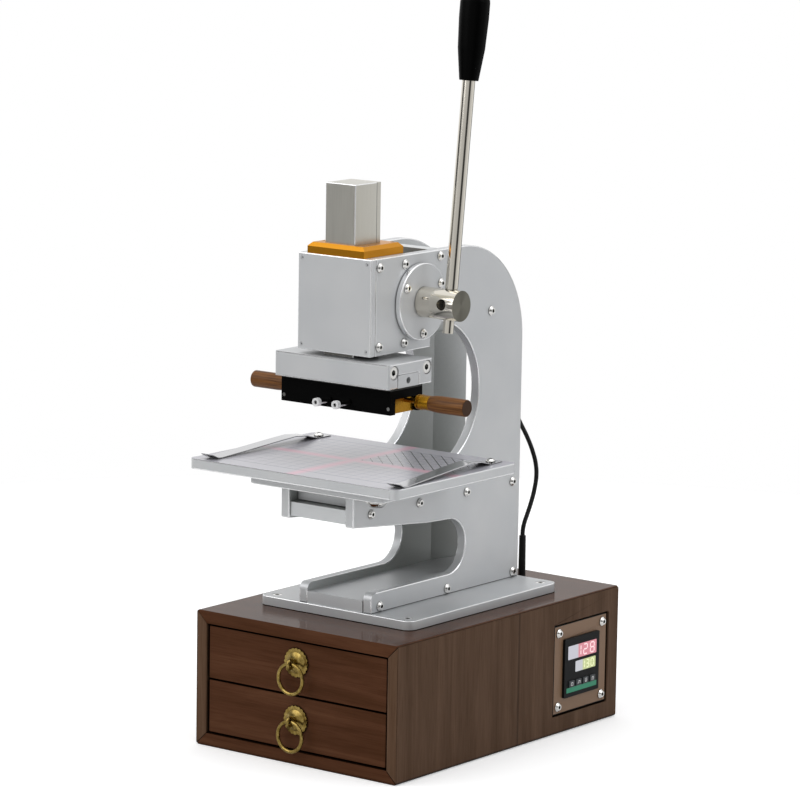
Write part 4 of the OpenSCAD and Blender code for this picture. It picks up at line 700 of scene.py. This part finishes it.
# The press screws' shanks and counterbored heads get nickel with more painted shade: dark up to a larger
# share of open sky.
sunk_screws = nickel("nickel_in_counterbores", dark_to=0.6, bright_from=0.98)

# The bar's long edges take the bright-cut finish, whose white lines are partly painted highlight.
finish_copy("ram_bar", gear_steel, edge=0.0006, edge_finish=cut_with_painted_light, shortest=0.004)
finish_copy("rack", gear_steel, edge=0.0003)
plate_copy("platen")
finish_copy("heater_carrier", satin_aluminium, edge=0.0004)
finish_copy("insulation_board", insulation, edge=0.0002)
finish_copy("heater_block", black_aluminium, edge=0.0005)
finish_copy("heater_cartridges", bright_screws, edge=0.0002)
press_screws = finish_copy("press_screws", sunk_screws, edge=0.0006)
press_screws.data.materials.append(zinc_plate)
clamp_head_depth = 0.0037
clamp_head_back_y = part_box("press_screws")[0].y + clamp_head_depth
for face in press_screws.data.polygons:
    if face.center.y < clamp_head_back_y:
        face.material_index = 1


# Die holder: a brass plate that slides in the heater block, with a stud and a stepped brass
# ferrule at each end and a turned, waxed wooden handle on the stud.
# Machined brass: warm yellow, semi-bright, with tool marks some 0.5 mm apart along X.
mark_width = 0.0005
mark_length = 0.01
brass, tree, shader = start_finish("machined_brass", {"Base Color": linear("a0741c"), "Metallic": 1.0})
place = add_node(tree, "TexCoord")
mark_place = add_node(tree, "Mapping", {"Vector": place.outputs["Object"],
                                        "Scale": (1 / mark_width, 1 / mark_length, 1 / mark_length)})
marks = add_node(tree, "TexNoise", {"Vector": mark_place.outputs["Vector"], "Scale": 1.0, "Detail": 2.0})
gloss = add_node(tree, "MapRange", {"Value": marks.outputs["Fac"], "To Min": 0.2, "To Max": 0.36})
tree.links.new(gloss.outputs["Result"], shader.inputs["Roughness"])

# Turned beech, stained brown and waxed: streaks about 1.2 mm wide run along the handle.
beech_width = 0.0012
beech_length = 0.03
handle_wood, tree, shader = start_finish("stained_beech", {"Roughness": 0.4, "Specular IOR Level": 0.15})
place = add_node(tree, "TexCoord")
streak_place = add_node(tree, "Mapping", {"Vector": place.outputs["Object"],
                                          "Scale": (1 / beech_length, 1 / beech_width, 1 / beech_width)})
streaks = add_node(tree, "TexNoise", {"Vector": streak_place.outputs["Vector"], "Scale": 1.0, "Detail": 3.0})
tone = add_node(tree, "ValToRGB", {"Fac": streaks.outputs["Fac"]}, stops=((0.3, "472a12"), (0.7, "7a5029")))
tree.links.new(tone.outputs["Color"], shader.inputs["Base Color"])

# End grain of the same beech, which drinks the stain and turns dark.
end_grain = start_finish("stained_end_grain", {"Base Color": linear("3d2819"), "Roughness": 0.5,
                                               "Specular IOR Level": 0.15})[0]

finish_copy("die_plate", brass, edge=0.0004)
finish_copy("handle_ferrules", brass, edge=0.0003)
handles = finish_copy("die_handles", handle_wood, edge=0.0003)
handles.data.materials.append(end_grain)
end_normal = 0.95
for face in handles.data.polygons:
    if abs(face.normal.x) > end_normal and face.normal.x * face.center.x > 0:
        face.material_index = 1


# Work table: an aluminium plate with a printed film on top, screwed to a carrier whose tongue
# slides between the arms. Two leaf-spring clips swing on their screws and hold the work down.
# Printed film over aluminium: pale lilac grey with a fine border, a faint 10 mm grid, a soft pink cross
# through the middle and dark 45 degree lines 10 mm apart along X in the right rear quarter.
table_low, table_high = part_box("table_plate")
table_middle_y = (table_low.y + table_high.y) / 2
border_x = 0.087
border_y = 0.060
border_width = 0.0007
grid_pitch = 0.010
grid_width = 0.0004
quarter_margin = 0.004
falling_width = 0.0011
rising_width = 0.0009
table_film, tree, shader = start_finish("printed_film", {"Roughness": 0.22, "Specular IOR Level": 0.4})
place = add_node(tree, "TexCoord")
centred = add_node(tree, "Mapping", {"Vector": place.outputs["Object"], "Location": (0, -table_middle_y, 0)})
apart = add_node(tree, "SeparateXYZ", {"Vector": centred.outputs["Vector"]})
along_x = apart.outputs["X"]
along_y = apart.outputs["Y"]


def print_line(value, pitch, wide):
    """One where a value lies on a line of the given width, repeated at the pitch."""
    cells = add_node(tree, "Math", {0: value, 1: pitch / 2}, operation="PINGPONG")
    return add_node(tree, "Math", {0: cells.outputs[0], 1: wide / 2}, operation="LESS_THAN").outputs[0]


def both(first, second, operation="MULTIPLY"):
    """Two values combined by a math operation."""
    return add_node(tree, "Math", {0: first, 1: second}, operation=operation).outputs[0]


out_x = both(along_x, 0.0, "ABSOLUTE")
out_y = both(along_y, 0.0, "ABSOLUTE")
inside = both(both(out_x, border_x, "LESS_THAN"), both(out_y, border_y, "LESS_THAN"))
outside = both(both(out_x, border_x + border_width, "GREATER_THAN"),
               both(out_y, border_y + border_width, "GREATER_THAN"), "MAXIMUM")
border = both(1.0, both(inside, outside, "ADD"), "SUBTRACT")
grid = both(both(print_line(along_x, grid_pitch, grid_width), print_line(along_y, grid_pitch, grid_width),
                 "MAXIMUM"), inside)
right = both(along_x, quarter_margin, "GREATER_THAN")
rear = both(along_y, quarter_margin, "GREATER_THAN")
quarter = both(both(right, rear), inside)
falling = both(print_line(both(along_x, along_y, "ADD"), grid_pitch, falling_width), quarter)
rising = both(print_line(both(along_x, along_y, "SUBTRACT"), grid_pitch, rising_width), quarter)
cross_bands = []
for distance in (out_x, out_y):
    cross_bands.append(add_node(tree, "MapRange", {"Value": distance, "From Min": 0.001, "From Max": 0.008,
                                                   "To Min": 0.65, "To Max": 0.0}).outputs["Result"])
cross = both(cross_bands[0], cross_bands[1], "MAXIMUM")
print_colour = linear("b2b1b8")
for cover, ink in ((grid, "8f8f97"), (cross, "e3a3b5"), (border, "8d8d94"),
                   (rising, "55555c"), (falling, "34343a")):
    print_colour = add_node(tree, "Mix", {"Factor": cover, "A": print_colour, "B": linear(ink)},
                            data_type="RGBA").outputs["Result"]
tree.links.new(print_colour, shader.inputs["Base Color"])

# Polished spring strip: a thin bright steel, uneven over about 2 mm, that mirrors the press and the sky
# above it, with painted shade that makes it dark underneath, close to the table.
rolling_width = 0.002
clip_steel, tree, shader = start_finish("polished_spring_strip", {"Metallic": 1.0})
place = add_node(tree, "TexCoord")
marks = add_node(tree, "TexNoise", {"Vector": place.outputs["Object"], "Scale": 1 / rolling_width,
                                    "Detail": 2.0})
gloss = add_node(tree, "MapRange", {"Value": marks.outputs["Fac"], "To Min": 0.08, "To Max": 0.16})
sky = add_node(tree, "AmbientOcclusion", {"Distance": 0.012}, samples=8)
tone = add_node(tree, "ValToRGB", {"Fac": sky.outputs["AO"]}, stops=((0.4, "060606"), (0.75, "c9c9cb")))
tree.links.new(tone.outputs["Color"], shader.inputs["Base Color"])
tree.links.new(gloss.outputs["Result"], shader.inputs["Roughness"])

# The film covers the plate's top face; the screws above and below the plate are nickel-plated.
table = plate_copy("table_plate", shortest=0.0025)
table.data.materials.append(table_film)
table.data.materials.append(bright_screws)
clip_gap = 0.0001
film_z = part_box("left_clip")[0].z - clip_gap
film_reach = 0.0002
screws_above_z = film_z + 0.0001
screws_below_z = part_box("table_carrier")[1].z - 0.0004
for face in table.data.polygons:
    if face.normal.z > square_normal and abs(face.center.z - film_z) < film_reach:
        face.material_index = 2
    elif face.center.z < screws_below_z or face.center.z > screws_above_z:
        face.material_index = 3
plate_copy("table_carrier")
finish_copy("left_clip", clip_steel, edge=0.0002)
finish_copy("right_clip", clip_steel, edge=0.0002)


# Studio: a pale floor on a white sweep, a broad soft lamp high at the front left, an upright strip
# lamp at the right and a lamp above. The room in front of the sweep is dim, so that polished
# metal shows light and dark lines.
# Matt white paint: it shows as white to the lens and still takes the machine's soft shadow.
floor_glow = 0.36
floor_paint, tree, shader = start_finish("floor_paint", {"Base Color": linear("ececec"), "Roughness": 0.9,
                                                         "Emission Color": (1, 1, 1, 1)})
rays = add_node(tree, "LightPath")
seen = add_node(tree, "Math", {0: rays.outputs["Is Camera Ray"], 1: floor_glow}, operation="MULTIPLY")
tree.links.new(seen.outputs[0], shader.inputs["Emission Strength"])
bpy.ops.object.select_all(action="DESELECT")
bpy.ops.mesh.primitive_circle_add(vertices=96, radius=1.1, fill_type="NGON", location=(0, 0, -0.0002))
floor = bpy.context.active_object
floor.name = "studio_floor"
floor.data.materials.append(floor_paint)


def soft_lamp(name, place, aim, wide, tall, power, colour="ffffff"):
    """A rectangular area lamp that looks at a point and doesn't show itself to the lens."""
    data = bpy.data.lights.new(name, "AREA")
    data.shape = "RECTANGLE"
    data.size = wide
    data.size_y = tall
    data.energy = power
    data.color = linear(colour)[:3]
    lamp = bpy.data.objects.new(name, data)
    lamp.location = place
    lamp.rotation_euler = (Vector(aim) - Vector(place)).to_track_quat("-Z", "Y").to_euler()
    lamp.visible_camera = False
    bpy.context.collection.objects.link(lamp)


soft_lamp("key_lamp", (-1.2, -1.9, 1.9), aim=(0, 0, 0.25), wide=2.6, tall=2.6, power=37)
soft_lamp("strip_lamp", (1.9, 0.3, 1.7), aim=(0, 0, 0.3), wide=0.8, tall=1.6, power=8, colour="f2f8ff")
soft_lamp("top_lamp", (0.2, 0.4, 2.4), aim=(0, 0, 0.25), wide=1.8, tall=1.8, power=16)

# The sweep is white to the lens. Metal sees it white above and behind the machine, greyer down
# towards the side that the lens looks from, and with three upright dark screens round the horizon.
screen_count = 3.0
screen_turn = math.radians(-25)
room_light = 0.55
world = bpy.data.worlds.new("studio")
world.use_nodes = True
bpy.context.scene.world = world
tree = world.node_tree
rays = add_node(tree, "LightPath")
towards = add_node(tree, "TexCoord")
height = add_node(tree, "VectorMath", {0: towards.outputs["Generated"], 1: (-0.30, 0.40, 1.0)},
                  operation="DOT_PRODUCT")
sweep = add_node(tree, "MapRange", {"Value": height.outputs["Value"], "From Min": -0.4, "From Max": 0.3,
                                    "To Min": 0.6, "To Max": 1.0})
apart = add_node(tree, "SeparateXYZ", {"Vector": towards.outputs["Generated"]})
around = add_node(tree, "Math", {0: apart.outputs["Y"], 1: apart.outputs["X"]}, operation="ARCTAN2")
turns = add_node(tree, "Math", {0: around.outputs[0], 1: screen_count, 2: screen_turn},
                 operation="MULTIPLY_ADD")
wave = add_node(tree, "Math", {0: turns.outputs[0]}, operation="SINE")
screens = add_node(tree, "MapRange", {"Value": wave.outputs[0], "From Min": -0.9, "From Max": -0.25,
                                      "To Min": 0.05, "To Max": 0.95})
slope = add_node(tree, "Math", {0: apart.outputs["Z"]}, operation="ABSOLUTE")
above = add_node(tree, "MapRange", {"Value": slope.outputs[0], "From Min": 0.25, "From Max": 0.5})
around_all = add_node(tree, "Mix", {"Factor": above.outputs["Result"], "A": screens.outputs["Result"],
                                    "B": 1.0}, data_type="FLOAT")
mirrored = add_node(tree, "Math", {0: sweep.outputs["Result"], 1: around_all.outputs["Result"]},
                    operation="MULTIPLY")
background = add_node(tree, "Math", {0: mirrored.outputs[0], 1: rays.outputs["Is Camera Ray"]},
                      operation="MAXIMUM")
seen = add_node(tree, "Math", {0: rays.outputs["Is Camera Ray"], 1: rays.outputs["Is Glossy Ray"]},
                operation="MAXIMUM")
seen_all = add_node(tree, "Math", {0: seen.outputs[0], 1: rays.outputs["Is Transmission Ray"]},
                    operation="MAXIMUM")
strength = add_node(tree, "Mix", {"Factor": seen_all.outputs[0], "A": room_light, "B": background.outputs[0]},
                    data_type="FLOAT")
surround = tree.nodes["Background"]
surround.inputs["Color"].default_value = (1, 1, 1, 1)
tree.links.new(strength.outputs["Result"], surround.inputs["Strength"])

bpy.context.scene.view_settings.view_transform = "Standard"
